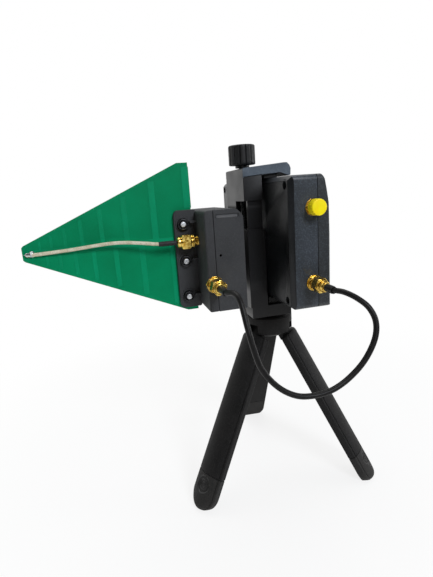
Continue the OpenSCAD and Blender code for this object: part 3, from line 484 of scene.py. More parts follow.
def threadRod(origin, axis, length, radius, pitch, depth, sides, perTurn):
    # right-hand thread: radius falls by depth times a triangle wave of (along / pitch - turn / 2 pi)
    along = np.linspace(0, length, int(length / pitch * perTurn))
    turn = np.arange(sides) / sides
    phase = (along[:, None] / pitch - turn[None, :]) % 1
    wave = np.abs(phase * 2 - 1)
    ends = np.clip(np.minimum(along, length - along) / pitch, 0, 1)[:, None]
    body = radius - depth * (1 - ends * np.clip(wave * 1.5 - 0.25, 0, 1))
    closed = np.zeros((1, sides))
    return aroundAxis(origin, axis, np.concatenate([[0], along, [length]]),
                      np.concatenate([closed, body, closed]))


def smoothRoute(route, steps):
    # Catmull-Rom curve through the route's points
    ends = np.concatenate([route[:1], route, route[-1:]])
    p, q, r, s = (ends[i:len(ends) - 3 + i, None, :] for i in range(4))
    t = (np.arange(steps) / steps)[None, :, None]
    curve = 0.5 * (2 * q + (r - p) * t + (2 * p - 5 * q + 4 * r - s) * t ** 2
                   + (3 * q - p - 3 * r + s) * t ** 3)
    return np.concatenate([curve.reshape(-1, 3), route[-1:]])


def tubeAlong(path, radius, sides=20):
    # a circle carried along the path, square to it; both ends closed
    ahead = np.gradient(path, axis=0)
    ahead /= np.linalg.norm(ahead, axis=1)[:, None]
    side = np.cross(ahead, np.array([0.35, 0.6, 0.72]))
    side /= np.linalg.norm(side, axis=1)[:, None]
    other = np.cross(ahead, side)
    turn = np.arange(sides) / sides * 2 * np.pi
    rim = np.cos(turn)[None, :, None] * side[:, None] + np.sin(turn)[None, :, None] * other[:, None]
    radii = np.broadcast_to(np.asarray(radius, float), (len(path),))
    rings = path[:, None] + radii[:, None, None] * rim
    rings = np.concatenate([np.repeat(path[:1, None], sides, 1), rings, np.repeat(path[-1:, None], sides, 1)])
    length = np.concatenate([[0], np.cumsum(np.linalg.norm(np.diff(path, axis=0), axis=1))])
    length = np.concatenate([length[:1], length, length[-1:]])
    uv = np.stack([np.broadcast_to(np.abs(turn / np.pi - 1), rings.shape[:2]),
                   np.broadcast_to(length[:, None], rings.shape[:2])], -1).reshape(-1, 2)
    return surface(rings), uv, float(length[-1])


def bevelledCopy(node, width, body, material, segments=3, angle=28, only=None, moved=None):
    # a copy of a CAD node with its doubles merged, its flat faces whole and its edges rounded;
    # only gives each edge its share of the width from the edge's two ends, and moved gives the
    # copy's points their new places, all in mm
    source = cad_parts[node]
    mesh = source.data.copy()
    mesh.name = node + "_rounded"
    if moved is not None:
        points = np.zeros(len(mesh.vertices) * 3)
        mesh.vertices.foreach_get("co", points)
        points = moved(points.reshape(-1, 3) * metre) / metre
        mesh.vertices.foreach_set("co", points.ravel())
    work = bmesh.new()
    work.from_mesh(mesh)
    bmesh.ops.remove_doubles(work, verts=work.verts, dist=4e-6)
    bmesh.ops.dissolve_limit(work, angle_limit=math.radians(1.0), verts=work.verts, edges=work.edges,
                             delimit=set())
    weights = work.edges.layers.float.new("bevel_weight_edge")
    for edge in work.edges:
        if len(edge.link_faces) != 2:
            continue
        if math.degrees(edge.calc_face_angle(0)) < angle:
            continue
        edge[weights] = 1.0 if only is None else only(*(vert.co * metre for vert in edge.verts))
    work.to_mesh(mesh)
    work.free()
    mesh.shade_smooth()
    mesh.set_sharp_from_angle(angle=math.radians(50))
    obj = addObject(mesh.name, mesh)
    bevel = obj.modifiers.new("roundedEdges", "BEVEL")
    bevel.limit_method = "WEIGHT"
    bevel.width = width / metre
    bevel.segments = segments
    bevel.use_clamp_overlap = True
    bevel.harden_normals = True
    return placePiece(obj, body, material, (node,))


def twoTone(piece, material, isOther):
    # faces whose middle passes the test, an array of middles and normals in mm, take the second material
    piece.data.materials.append(material)
    count = len(piece.data.polygons)
    middles = np.zeros(count * 3)
    normals = np.zeros(count * 3)
    piece.data.polygons.foreach_get("center", middles)
    piece.data.polygons.foreach_get("normal", normals)
    other = isOther(middles.reshape(-1, 3) * metre, normals.reshape(-1, 3))
    piece.data.polygons.foreach_set("material_index", other.astype(np.int32))
    piece.data.update()


def dressNode(node, material):
    # a CAD node that stays: only its material slots change
    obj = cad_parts[node]
    if not obj.material_slots:
        obj.data.materials.append(material)
    for slot in obj.material_slots:
        slot.material = material


print("stage: tools ready")

# ---- cords ----

jumperCord = {
    # the same points as in the part's source
    "route": [[-49.2, -62.5, 156.4], [-49, -70, 156.5], [-46.5, -75.5, 157], [-45, -80.5, 153.5],
              [-44, -86, 142], [-42.5, -89, 132], [-39.5, -91, 121.5], [-32.5, -93, 112],
              [-24, -95, 106.5], [-15, -96, 105], [-5.5, -97, 106.5], [4, -97, 111],
              [13, -97, 119], [19.5, -96, 129], [21.5, -94, 137.5], [19.5, -91, 144.5],
              [15.5, -86.5, 149], [11.5, -81, 151.5], [8.6, -75, 151.7], [8.6, -68.8, 151.7]],
    "diameter": 3.0,
}
feedCord = {
    "route": [[-149, -20, 179.9], [-145, -20, 179.6], [-125, -21.4, 180.6], [-106, -23.6, 182.2],
              [-95, -25.3, 182.2], [-84, -26.8, 180.9], [-77, -27.6, 179.9], [-69.4, -27.6, 179.6]],
    "diameter": 2.0,
}


def makeCord(name, cord, material, node):
    path = smoothRoute(fromSource(cord["route"]), 8)
    shape, uv, length = tubeAlong(path, cord["diameter"] / 2)
    piece = makePiece(name, shape, "stand", material, (node,), 60, uv)
    print("stage:", name, round(length, 1), "mm")
    return path


makeCord("jumperLead", jumperCord, jumperPvc, "jumper_cable")
feedPath = makeCord("feedLead", feedCord, feedFep, "feed_coax")

# ---- tripod ----

tripodSize = {"hubX": 0.6, "hinge": 8.5, "hingeZ": 110.7, "hub": 16.3, "inner": 7.6, "innerHalf": 10.5,
              "outerHalf": 11.0, "top": 6.1, "topRound": 2.6, "seamRound": 0.35, "footLength": 23.9,
              "footRound": 4.8, "turn": -155.0, "spread": (29.4, 27.5, 28.7)}
# round grip mark on the outer face of each foot
markSize = {"behindEnd": 16.5, "radius": 5.6, "dish": 0.85, "ringReach": 4.4, "ringPitch": 1.6,
            "ringDepth": 0.3}


def legSection(spacing=0.26):
    # closed outline of a leg: flat inner face, flank, outer arc about the hub's axis, flank;
    # its corners are rounded by a short moving average, and a fine line is pressed beside each
    # outer corner
    size = tripodSize
    centre = -size["hinge"]
    half, inner = size["outerHalf"], size["inner"] + centre
    edge = centre + math.sqrt(size["hub"] ** 2 - half ** 2)
    swing = math.asin(half / size["hub"])
    arc = np.linspace(swing, -swing, int(2 * swing * size["hub"] / spacing))
    arcPoints = np.stack([centre + size["hub"] * np.cos(arc), size["hub"] * np.sin(arc)], 1)
    face = np.linspace(-size["innerHalf"], size["innerHalf"], int(2 * size["innerHalf"] / spacing))
    facePoints = np.stack([np.full_like(face, inner), face], 1)
    flank = np.linspace(0, 1, int((edge - inner) / spacing))[1:-1, None]
    up = facePoints[-1] + (arcPoints[0] - facePoints[-1]) * flank
    down = arcPoints[-1] + (facePoints[0] - arcPoints[-1]) * flank
    outline = np.concatenate([facePoints, up, arcPoints, down])
    for passes in range(2):
        outline = (np.roll(outline, -1, 0) + outline + np.roll(outline, 1, 0)) / 3
    step = int(1.5 / spacing)
    for corner in (arcPoints[step], arcPoints[-step - 1]):
        away = np.linalg.norm(outline - corner, axis=1)
        inward = (np.array([3.4, 0.0]) - corner) / np.linalg.norm(np.array([3.4, 0.0]) - corner)
        outline = outline + inward * 0.6 * np.exp(-(away / 0.36) ** 2)[:, None]
    return outline


def loftAlong(section, stations, half, depth, middle):
    # section scaled about (middle, 0): its width by half and its depth by depth at each station
    x = middle + (section[None, :, 0] - middle) * depth[:, None]
    y = section[None, :, 1] * half[:, None]
    z = np.broadcast_to(stations[:, None], x.shape)
    return np.stack([x, y, z], -1)


def toLeg(points, index):
    # local leg axes to the frame: tilt about the hinge, then turn about the hub's axis
    size = tripodSize
    tilt = math.radians(size["spread"][index])
    turn = math.radians(size["turn"] + 120 * index)
    x, y, z = np.moveaxis(points, -1, 0)
    outward = size["hinge"] + x * math.cos(tilt) - z * math.sin(tilt)
    height = size["hingeZ"] + x * math.sin(tilt) + z * math.cos(tilt)
    placed = np.stack([size["hubX"] + outward * math.cos(turn) - y * math.sin(turn),
                       outward * math.sin(turn) + y * math.cos(turn), height], -1)
    return fromSource(placed)


def legMeasures():
    # middle of a leg's section from its hinge, and the leg's length from the hinge to its end
    size = tripodSize
    middle = (size["inner"] + size["hub"]) / 2
    ends = [(size["hingeZ"] + (middle - size["hinge"]) * math.sin(math.radians(a)) - size["footRound"] + 0.25)
            / math.cos(math.radians(a)) for a in size["spread"]]
    return middle - size["hinge"], max(ends) + size["footRound"]


def legBody(index):
    # straight shaft: its top edge and the edge at the foot's seam are quarter circles
    middle, legEnd = legMeasures()
    size = tripodSize
    halfDepth = (size["hub"] - size["inner"]) / 2
    swing = np.linspace(0, np.pi / 2, 9)
    rise, sweep = 1 - np.sin(swing), 1 - np.cos(swing)
    topZ = -size["top"] - size["topRound"] * sweep
    lowZ = size["footLength"] - legEnd + size["seamRound"] * rise
    shaft = np.linspace(topZ[-1], lowZ[0], 40)[1:-1]
    stations = np.concatenate([[topZ[0]], topZ, shaft, lowZ, [lowZ[-1]]])
    plain = np.ones(len(shaft))
    half = np.concatenate([[0], 1 - size["topRound"] * rise / size["outerHalf"], plain,
                           1 - size["seamRound"] * sweep / size["outerHalf"], [0]])
    depth = np.concatenate([[0], 1 - 0.9 * rise / halfDepth, plain,
                            1 - size["seamRound"] * sweep / halfDepth, [0]])
    return surface(toLeg(loftAlong(legSection(), stations, half, depth, middle), index))


def legTongue(index):
    # lug in the hub's slot: a rounded bar across, carried down into the leg
    height, reach, half = 3.8, 9.0, 4.0
    arc = np.linspace(-np.pi / 2, np.pi / 2, 25)
    outline = np.stack([height * np.sin(arc), height * np.cos(arc)], 1)
    outline = np.concatenate([[[-height, -reach]], outline, [[height, -reach]]])
    across = np.array([-half, -half, -half + 0.3, half - 0.3, half, half])
    shrink = np.array([0, 0.93, 1, 1, 0.93, 0])
    centre = np.array([0, -3.0])
    grid = centre + (outline[None] - centre) * shrink[:, None, None]
    points = np.stack([grid[..., 0], np.broadcast_to(across[:, None], grid.shape[:2]), grid[..., 1]], -1)
    return surface(toLeg(points, index))


def footBody(index):
    # the leg's section carried to a rounded end: width follows a circle seen from outside,
    # depth a circle seen from the side; the outer face has a dished grip mark with fine rings
    middle, legEnd = legMeasures()
    size = tripodSize
    section = legSection(0.3)
    seam = legEnd - size["footLength"] + 0.4
    sideStart = legEnd - size["outerHalf"] - 0.4
    lipZ = -seam - 0.35 * np.linspace(0, 1, 5) ** 1.5
    stations = np.concatenate([lipZ, np.linspace(-seam - 0.35, -sideStart, 22)[1:],
                               -sideStart - (legEnd - sideStart) * np.sin(np.linspace(0, np.pi / 2, 70))[1:]])
    low = np.maximum(-stations - sideStart, 0) / (legEnd - sideStart)
    half = np.sqrt(np.maximum(1 - low ** 2, 0))
    toe = np.clip((size["footRound"] - legEnd - stations) / size["footRound"], 0, 1)
    depth = np.sqrt(1 - toe ** 2)
    lip = 1 - 0.03 * (1 - np.linspace(0, 1, 5)) ** 2
    half[:5] *= lip
    depth[:5] *= lip
    stations = np.concatenate([stations[:1], stations])
    half = np.concatenate([[0], half])
    depth = np.concatenate([[0], depth])
    points = loftAlong(section, stations, half, depth, middle)
    away = np.hypot(points[..., 1], points[..., 2] - markSize["behindEnd"] + legEnd)
    rings = markSize["ringDepth"] * np.cos(away * 2 * np.pi / markSize["ringPitch"])
    dish = markSize["dish"] * np.clip((markSize["radius"] - away) / 0.6, 0, 1) + rings * (
        away < markSize["ringReach"])
    points[..., 0] -= np.where(points[..., 0] > middle, dish, 0)
    placed = toLeg(points, index)
    placed[..., 2] = np.maximum(placed[..., 2], 0.0)
    return surface(placed)


# the grip mark's rim and rings: painted shade, darker and glossier than the rest of the foot
gripMarkShade = moulded("rubberShadedGripMark", {
    "dark": "#090909", "light": "#0e0e0d", "speckle": "#1d1c1b", "fleck": 0.3, "grain": 0.8,
    "broad": 5, "gloss": (0.4, 0.5), "relief": 0.2})


def shadedMarkFaces(index):
    # test for the faces of the grip mark that take painted shade: its rim, and every other ring inside it;
    # the distance from its middle is measured across and along the leg
    legEnd = legMeasures()[1]
    outer, markZ = tripodSize["hub"] - tripodSize["hinge"], markSize["behindEnd"] - legEnd
    centre, across, along, outside = toLeg(np.array([
        [outer, 0, markZ], [outer, 1, markZ], [outer, 0, markZ - 1], [outer + 1, 0, markZ]]), index)

    def inMark(middles, normals):
        off = middles - centre
        away = np.hypot(off @ (across - centre), off @ (along - centre))
        rim = (away > markSize["radius"] - 0.7) & (away < markSize["radius"] + 0.2)
        rings = (away < markSize["ringReach"]) & (np.cos(away * 2 * np.pi / markSize["ringPitch"]) > 0.2)
        return (rim | rings) & (normals @ (outside - centre) > 0.2)

    return inMark


for index, side in enumerate(("left", "right", "rear")):
    leg, foot = "leg_" + side, "foot_" + side
    makePiece(leg + "_shell", joined([legBody(index), legTongue(index)]), leg, tripodNylon,
              (leg,), 50)
    footPiece = makePiece(foot + "_pad", footBody(index), leg, footRubber, (foot,), 50)
    # painted shade on each foot's grip mark
    twoTone(footPiece, gripMarkShade, shadedMarkFaces(index))

bevelledCopy("tripod_hub", 0.5, "stand", tripodNylon)
bevelledCopy("hub_pad", 0.4, "stand", padRubber)
dressNode("tripod_screw", zincSteel)
dressNode("leg_pins", zincSteel)
print("stage: tripod")

# ---- clamp ----

clampLow, jawLow = boxOf("clamp_frame")[0], boxOf("upper_jaw")[0]
armSeam = {"height": 214.4, "rise": math.tan(math.radians(4.4)), "corner": -19.6}


def clampShare(a, b):
    # the outer upright corners and the base's rim are rounder than the rest
    upright = abs(a.x - b.x) < 0.01 and abs(a.y - b.y) < 0.01
    return 1.0 if upright or a.z < clampLow[2] + 9 else 0.6


bevelledCopy("clamp_frame", 0.45, "stand", frameAcetal, only=clampShare)
jawBars = {"inner": 10.2, "thinInner": 14.7}


def thinBars(points):
    # the jaw's two slide bars are plates: their inner faces move out towards the clamp's sides
    across = points[:, 1] - frameShift[1]
    inner = np.abs(np.abs(across) - jawBars["inner"]) < 0.05
    points[:, 1] = np.where(inner, frameShift[1] + np.sign(across) * jawBars["thinInner"], points[:, 1])
    return points


jawPiece = bevelledCopy("upper_jaw", 0.55, "jaw", jawAcetal, segments=4, moved=thinBars)


def armFaces(middles, normals):
    # above the seam, on every side but the clamp's back
    seam = armSeam["height"] + (middles[:, 0] - armSeam["corner"] - frameShift[0]) * armSeam["rise"]
    return (middles[:, 2] > seam - 0.1) & (normals[:, 0] > -0.5)


twoTone(jawPiece, armNylon, armFaces)


def armSeamShadeStrip():
    # fine dark joint under the arm, with the shade its overhanging lip casts painted in: a dark ribbon just
    # proud of the jaw's near face
    near = jawLow[1]
    x = np.linspace(jawLow[0] + 0.9, jawLow[0] + 18.5, 12)
    z = armSeam["height"] + (x - armSeam["corner"] - frameShift[0]) * armSeam["rise"]
    ribbon = np.array([[0.4, -0.22], [-0.07, -0.18], [-0.07, 0.18], [0.4, 0.22]])
    grid = np.stack([np.broadcast_to(x[:, None], (12, 4)), near + np.broadcast_to(ribbon[:, 0], (12, 4)),
                     z[:, None] + ribbon[None, :, 1]], -1)
    ends = [np.broadcast_to(grid[k].mean(0), (1, 4, 3)) for k in (0, -1)]
    return surface(np.concatenate([ends[0], grid, ends[1]]))


# dark joint and painted shade under the arm
makePiece("jaw_arm_shadow_seam", armSeamShadeStrip(), "jaw", clampAcetal)
bevelledCopy("jaw_pad", 0.5, "jaw", padRubber)
bevelledCopy("base_pad", 0.3, "stand", padRubber)
dressNode("nut_insert", bareBrass)

screwLow, screwHigh = boxOf("lead_screw")
screwAxis = (screwLow + screwHigh) / 2
leadSize = {"pitch": 0.8, "depth": 0.42, "radius": 2.5}
makePiece("lead_screw_thread", threadRod(
    [screwAxis[0], screwAxis[1], screwLow[2]], [0, 0, 1], screwHigh[2] - screwLow[2], leadSize["radius"],
    leadSize["pitch"], leadSize["depth"], 28, 6), "knob", phosphateSteel, ("lead_screw",), 60)

knobSize = {"grooves": 14, "depth": 0.75, "width": 0.085, "edge": 1.1, "dish": 0.25, "crown": 0.16}


def knobShape():
    # radius = R less narrow grooves, slightly crowned between them; the top edge is a quarter
    # circle, the top slightly dished
    low, high = boxOf("clamp_knob")
    radius = (high[0] - low[0]) / 2
    height = high[2] - low[2]
    sides = knobSize["grooves"] * 22
    turn = np.arange(sides) / sides * knobSize["grooves"] % 1
    off = np.abs(turn - 0.5)
    groove = knobSize["depth"] * np.exp(-((0.5 - off) / knobSize["width"]) ** 4)
    crown = knobSize["crown"] * (1 - np.clip(off * 2, 0, 1) ** 2)
    swing = np.linspace(0, np.pi / 2, 8)[1:]
    edge, dished = knobSize["edge"], height - knobSize["dish"]
    along = np.concatenate([[0, 0, 0.45], np.linspace(0.45, height - edge, 14)[1:],
                            height - edge + edge * np.sin(swing), [height - 0.02, dished, dished]])
    reach = np.concatenate([[0, radius - 0.45, radius], np.full(13, radius),
                            radius - edge * (1 - np.cos(swing)),
                            [radius - edge - 0.5, radius - edge - 1.1, 0]])
    fade = np.clip((reach - (radius - edge)) / edge, 0, 1)
    fade[:2] = [0, 1]
    radii = np.maximum(reach[:, None] - (groove + knobSize["crown"] - crown) * fade[:, None], 0)
    middle = (low + high) / 2
    return aroundAxis([middle[0], middle[1], low[2]], [0, 0, 1], along, radii)


makePiece("clamp_knob_grip", knobShape(), "knob", knobNylon, ("clamp_knob",), 45)
collarLow, collarHigh = boxOf("knob_collar")
collarMiddle, collarHeight = (collarLow + collarHigh) / 2, collarHigh[2] - collarLow[2]
makePiece("knob_collar_ring", turned([collarMiddle[0], collarMiddle[1], collarLow[2]], [0, 0, 1], filleted(
    [[2.5, 0], [4.6, 0], [4.6, collarHeight], [2.5, collarHeight], [2.5, 0]], 0.3)), "knob",
    clampAcetal, ("knob_collar",))
print("stage: clamp")

# ---- meter ----

meterLow, meterHigh = boxOf("meter_back_shell", "meter_front_shell")
splitX = boxOf("meter_front_shell")[0][0]


def meterShare(a, b):
    # outer edges are soft, the parting line and the pockets nearly sharp
    middle = (a + b) / 2
    inside = all(meterLow[k] + 1.5 < middle[k] < meterHigh[k] - 1.5 for k in range(3))
    parting = abs(a.x - splitX) < 0.4 and abs(b.x - splitX) < 0.4
    if parting:
        return 0.25
    return 0.12 if inside else 1.0


backPiece = bevelledCopy("meter_back_shell", 0.6, "stand", meterAbs, angle=20, only=meterShare)


def shadedBackFaces(middles, normals):
    # the back itself, its bevels, and the walls of the screw pockets, which take the painted shade
    pocket = np.all((middles[:, 1:] > meterLow[1:] + 3) & (middles[:, 1:] < meterHigh[1:] - 3), axis=1)
    return ((normals[:, 0] < -0.3) | pocket) & (middles[:, 0] < meterLow[0] + 5)


# painted shade on the meter's back and inside its screw pockets
twoTone(backPiece, meterBackShadeAbs, shadedBackFaces)


def partingGap(points):
    # the front shell's parting rim stands back, so that the joint reads as a dark line
    points[:, 0] = np.where(np.abs(points[:, 0] - splitX) < 0.05, splitX + 0.3, points[:, 0])
    return points


bevelledCopy("meter_front_shell", 0.8, "stand", meterFrontAbs, segments=4, angle=16,
             only=meterShare, moved=partingGap)
bevelledCopy("power_switch", 0.3, "power_slider", buttonAcetal)
bevelledCopy("jog_switch", 0.45, "jog", buttonAcetal)
dressNode("display_window", windowAcrylic)
dressNode("display_panel", displayGlass)
dressNode("meter_board", innerMask)
dressNode("battery", cellFoil)
bevelledCopy("case_screws", 0.15, "stand", oxideSteel)
print("stage: meter")

# ---- radio module ----

moduleLow, moduleHigh = boxOf("module_left_shell", "module_right_shell")
rightLow, rightHigh = boxOf("module_right_shell")  # its low X is the parting face
moduleSize = {"leftDepth": 5.35, "corner": 1.1, "rim": 0.6, "part": 0.3, "flangeBehind": 26.1,
              "flangeThick": 3.0, "boss": 4.7, "seat": 3.4, "bossRise": 0.5, "rib": 1.4, "ribRise": 4.0}
nutLow, nutHigh = boxOf("flange_nuts")
nutRadius = (nutHigh[0] - nutLow[0]) / 2
boltX = (nutLow[0] + nutHigh[0]) / 2
# the bolts stand in a row, the middle one a little below half way
boltZs = nutLow[2] + nutRadius + (nutHigh[2] - nutLow[2] - 2 * nutRadius) * np.array([0, 0.4986, 1])


def plate(outline, near, far, rim, steps=6):
    # an outline in X-Z carried along Y, its rims drawn in by a quarter circle; both ends closed
    middle = (outline.min(0) + outline.max(0)) / 2
    half = (outline.max(0) - outline.min(0)) / 2
    swing = np.linspace(0, np.pi / 2, steps)
    inset = np.concatenate([rim * (1 - np.cos(swing))[::-1], rim * (1 - np.cos(swing))])
    along = np.concatenate([near + rim * (1 - np.sin(swing))[::-1], far - rim * (1 - np.sin(swing))])
    scale = 1 - inset[:, None] / half[None, :]
    scale = np.concatenate([[[0, 0]], scale, [[0, 0]]])
    along = np.concatenate([[near], along, [far]])
    flat = middle + (outline[None] - middle) * scale[:, None, :]
    return surface(np.stack([flat[..., 0], np.broadcast_to(along[:, None], flat.shape[:2]),
                             flat[..., 1]], -1))


def moduleLeftBody():
    # the shell's outline carried along Y; its near upright corner is a large quarter circle, its
    # top and bottom rims small ones, all measured from the parting face
    size = moduleSize
    part, left = rightLow[0] - 0.05 - size["part"], rightLow[0] - size["leftDepth"]
    low, high = rightLow[2], rightHigh[2]
    near, far = rightLow[1], rightHigh[1]
    outline = filleted([[part, low], [left, low], [left, high - 2.4], [left + 0.7, high - 0.7],
                        [left + 2.2, high], [part, high]], 0.9)
    swing = np.linspace(0, np.pi / 2, 14)
    corner, rim = size["corner"], size["rim"]
    along = np.concatenate([near + corner * (1 - np.sin(swing[::-1])), far - rim * (1 - np.sin(swing))])
    drawn = np.concatenate([corner * (1 - np.cos(swing[::-1])), rim * (1 - np.cos(swing))])
    sideways = 1 - drawn / (part - left)
    depth = np.minimum(along - near, far - along)
    inset = rim - np.sqrt(np.maximum(rim ** 2 - np.maximum(rim - depth, 0) ** 2, 0))
    upright = 1 - inset / ((high - low) / 2)
    middle = (low + high) / 2
    x = part + (outline[None, :, 0] - part) * sideways[:, None]
    z = middle + (outline[None, :, 1] - middle) * upright[:, None]
    grid = np.stack([x, np.broadcast_to(along[:, None], x.shape), z], -1)
    ends = [np.broadcast_to(np.array([part - 0.5, y, middle]), grid[:1].shape) for y in (near, far)]
    return surface(np.concatenate([ends[0], grid, ends[1]]))


def flangeParts():
    # flange with its cut corners, a raised seat round each bolt, and a rib from each seat to the wall
    size = moduleSize
    wall = rightLow[0] - size["leftDepth"]
    left, low, high = moduleLow[0], moduleLow[2], moduleHigh[2]
    near = rightLow[1] + size["flangeBehind"]
    inner, seat, half = wall + 1.2, boltX + size["seat"] + 0.3, size["rib"] / 2
    outline = filleted([[inner, (low + high) / 2], [inner, low], [left + 1.4, low], [left, low + 2.6],
                        [left, high - 2.2], [left + 1.6, high], [inner, high],
                        [inner, (low + high) / 2]], 1.6)
    parts = [plate(outline, near, near + size["flangeThick"], 0.5)]
    for z in boltZs:
        parts.append(turned([boltX, near - size["bossRise"], z], [0, 1, 0], filleted(
            [[0, 0.75], [size["seat"], 0.75], [size["seat"], 0.1], [size["seat"] + 0.3, 0],
             [size["boss"] - 0.4, 0], [size["boss"], 0.7], [size["boss"], 1.6], [0, 1.6]], 0.2), 56))
        ribZ = z + 1.1
        rib = filleted([[seat, ribZ], [seat, ribZ - half], [wall + 0.6, ribZ - half],
                        [wall + 0.6, ribZ + half], [seat, ribZ + half], [seat, ribZ]], 0.3)
        parts.append(plate(rib, near - size["ribRise"], near + 1.0, 0.25))
    return parts


def rightShare(a, b):
    # the parting line and the pockets stay nearly sharp
    parting = abs(a.x - rightLow[0]) < 0.4 and abs(b.x - rightLow[0]) < 0.4
    return 0.2 if parting or (a - b).length < 1.0 else 1.0


def ledgeStrip():
    # sloping lip under the top edge of the right shell's front: a long wedge in its shallow pocket
    top, face = rightHigh[2], rightLow[1]
    left, right = rightLow[0] + 1.6, rightHigh[0] - 3.4
    wedge = np.array([[face + 1.0, top - 2.3], [face - 0.25, top - 3.9], [face - 0.25, top - 4.4],
                      [face + 0.6, top - 4.7]])
    across = np.array([left, left, left + 0.5, right - 0.5, right, right])
    shrink = np.array([0, 0.6, 1, 1, 0.6, 0])
    centre = np.array([face + 0.3, top - 3.8])
    grid = centre + (wedge[None] - centre) * shrink[:, None, None]
    return surface(np.stack([np.broadcast_to(across[:, None], grid.shape[:2]), grid[..., 0],
                             grid[..., 1]], -1))


bevelledCopy("module_bracket", 0.4, "stand", clampAcetal)
bevelledCopy("bracket_screws", 0.2, "stand", oxideSteel)
dressNode("module_board", innerMask)
endLow, endHigh = boxOf("flange_bolts")
boltSize = {"radius": 1.75, "head": 2.8, "headHeight": 1.8}


def boltShape(z):
    # shank from the domed cut end to the round head behind the board
    length = endHigh[1] - endLow[1]
    shank, head, neck = boltSize["radius"], boltSize["head"], length - boltSize["headHeight"]
    return turned([boltX, endLow[1], z], [0, 1, 0], filleted(
        [[0, 0], [shank - 0.35, 0.03], [shank, 0.45], [shank, neck], [head, neck], [head, length],
         [0, length]], 0.3), 40)


def bossShape(z):
    # round nut in its seat: raised rim, then a dished face round the bolt
    reach, bore = nutHigh[1] - nutLow[1], boltSize["radius"] + 0.05
    return turned([boltX, nutLow[1], z], [0, 1, 0], filleted(
        [[bore, 0.9], [2.3, 0.55], [2.7, 0], [nutRadius, 0.15], [nutRadius, reach], [bore, reach],
         [bore, 0.9]], 0.35), 48)


makePiece("module_left_case", joined([moduleLeftBody()] + flangeParts()), "stand", moduleAbs,
          ("module_left_shell",), 40)
bevelledCopy("module_right_shell", 0.6, "stand", moduleAbs, segments=4, only=rightShare)
# the front ledge wears the lip's painted highlight
makePiece("module_front_ledge", ledgeStrip(), "stand", lipHighlightAbs)
makePiece("flange_bolt_shanks", joined([boltShape(z) for z in boltZs]), "stand", boltNickel,
          ("flange_bolts",))
makePiece("flange_nut_rings", joined([bossShape(z) for z in boltZs]), "stand", oxideSteel,
          ("flange_nuts",))
print("stage: module")

# ---- coaxial connectors ----

threadSize = {"pitch": 0.705, "depth": 0.38, "radius": 3.175}
jackSize = {"wall": 2.0, "start": 4.4, "nut": 7.8, "ferrule": 2.6, "flats": 8.0}
panelNut = {"length": 2.0, "bore": 3.15, "washer": 0.5, "leftStart": 2.3}
front, left = np.array([0, -1.0, 0]), np.array([-1.0, 0, 0])
# each socket's node, its direction, its reach outside the wall and its length inside
jacks = {"out": ("module_jack_out", front, 8.2, 7.0), "in": ("module_jack_in", left, 8.2, 3.0),
         "lower": ("meter_jack_lower", front, 8.2, 7.0), "upper": ("meter_jack_upper", front, 7.0, 7.0)}


def wallPoint(node, axis, out):
    # where the socket's axis meets the outer face of the wall that it comes out of
    low, high = boxOf(node)
    return np.where(axis < 0, low + out, (low + high) / 2)


walls = {name: wallPoint(*jack[:3]) for name, jack in jacks.items()}


def goldPiece(name, shape, node):
    # a plated piece of a connector, fixed to the stand
    makePiece(name, shape, "stand", goldPlate, (node,))


def jackShape(origin, axis, out, inner):
    # threaded barrel outside the wall, hexagon and tail inside, socket in its end
    wall = jackSize["wall"]
    barrel = threadRod(origin - axis * 0.3, axis, out + 0.3, threadSize["radius"], threadSize["pitch"],
                       threadSize["depth"], 36, 8)
    rim = turned(origin + axis * (out - 0.25), axis, filleted(
        [[0.7, -1.5], [0.7, -0.1], [2.1, -0.1], [2.1, 0.28], [3.0, 0.28], [3.05, 0.0], [2.9, -0.6],
         [0.7, -1.5]], 0.1), 40)
    inside = hexNut(origin - axis * (wall + 2.05), axis, jackSize["flats"], 2.0, 0.5, 0.45)
    tail = turned(origin - axis * (wall + inner), axis, filleted(
        [[0, 0], [2.6, 0], [2.6, inner + wall], [0, inner + wall]], 0.2), 32)
    return joined([barrel, rim, inside, tail])


def panelNutShape(origin, axis, twist):
    # washer against the wall, then the hexagon
    washer = panelNut["washer"]
    ring = turned(origin, axis, filleted(
        [[3.2, 0.02], [4.75, 0.02], [4.75, washer], [3.2, washer], [3.2, 0.02]], 0.12), 60)
    return joined([ring, hexNut(origin + axis * washer, axis, jackSize["flats"], panelNut["length"] - washer,
                                panelNut["bore"], 0.35, twist)])


def ringNutShape(origin, axis):
    # round lock ring with one turned groove
    return turned(origin, axis, filleted([[3.2, 0], [3.9, 0], [3.95, 0.8], [3.55, 1.0], [3.95, 1.2],
                                          [3.9, 2.0], [3.2, 2.0], [3.2, 0]], 0.18), 60)


for name, (node, axis, out, inner) in jacks.items():
    goldPiece(node + "_barrel", jackShape(walls[name], axis, out, inner), node)
goldPiece("meter_jack_nut_pair", joined([
    panelNutShape(walls["lower"], front, 0.2), panelNutShape(walls["upper"], front, 0.0)]), "meter_jack_nuts")
goldPiece("module_jack_nut_pair", joined([
    panelNutShape(walls["out"], front, 0.35),
    ringNutShape(walls["in"] + left * panelNut["leftStart"], left)]), "module_jack_nuts")


def couplingShape(origin, axis, twist):
    # free-turning nut of a plug: hexagon, then a turned neck towards the lead
    start, hexagon, end = jackSize["start"] + 0.05, 5.5, jackSize["start"] + jackSize["nut"] - 0.2
    nut = hexNut(origin + axis * start, axis, jackSize["flats"], hexagon, 3.2, 0.5, twist)
    step = start + hexagon
    neck = turned(origin, axis, filleted([[3.2, start + 2], [3.45, start + 2], [3.45, step + 0.3],
                                          [3.2, step + 0.5], [3.4, step + 0.75], [3.35, end], [3.0, end],
                                          [3.0, start + 2], [3.2, start + 2]], 0.12), 56)
    return joined([nut, neck])


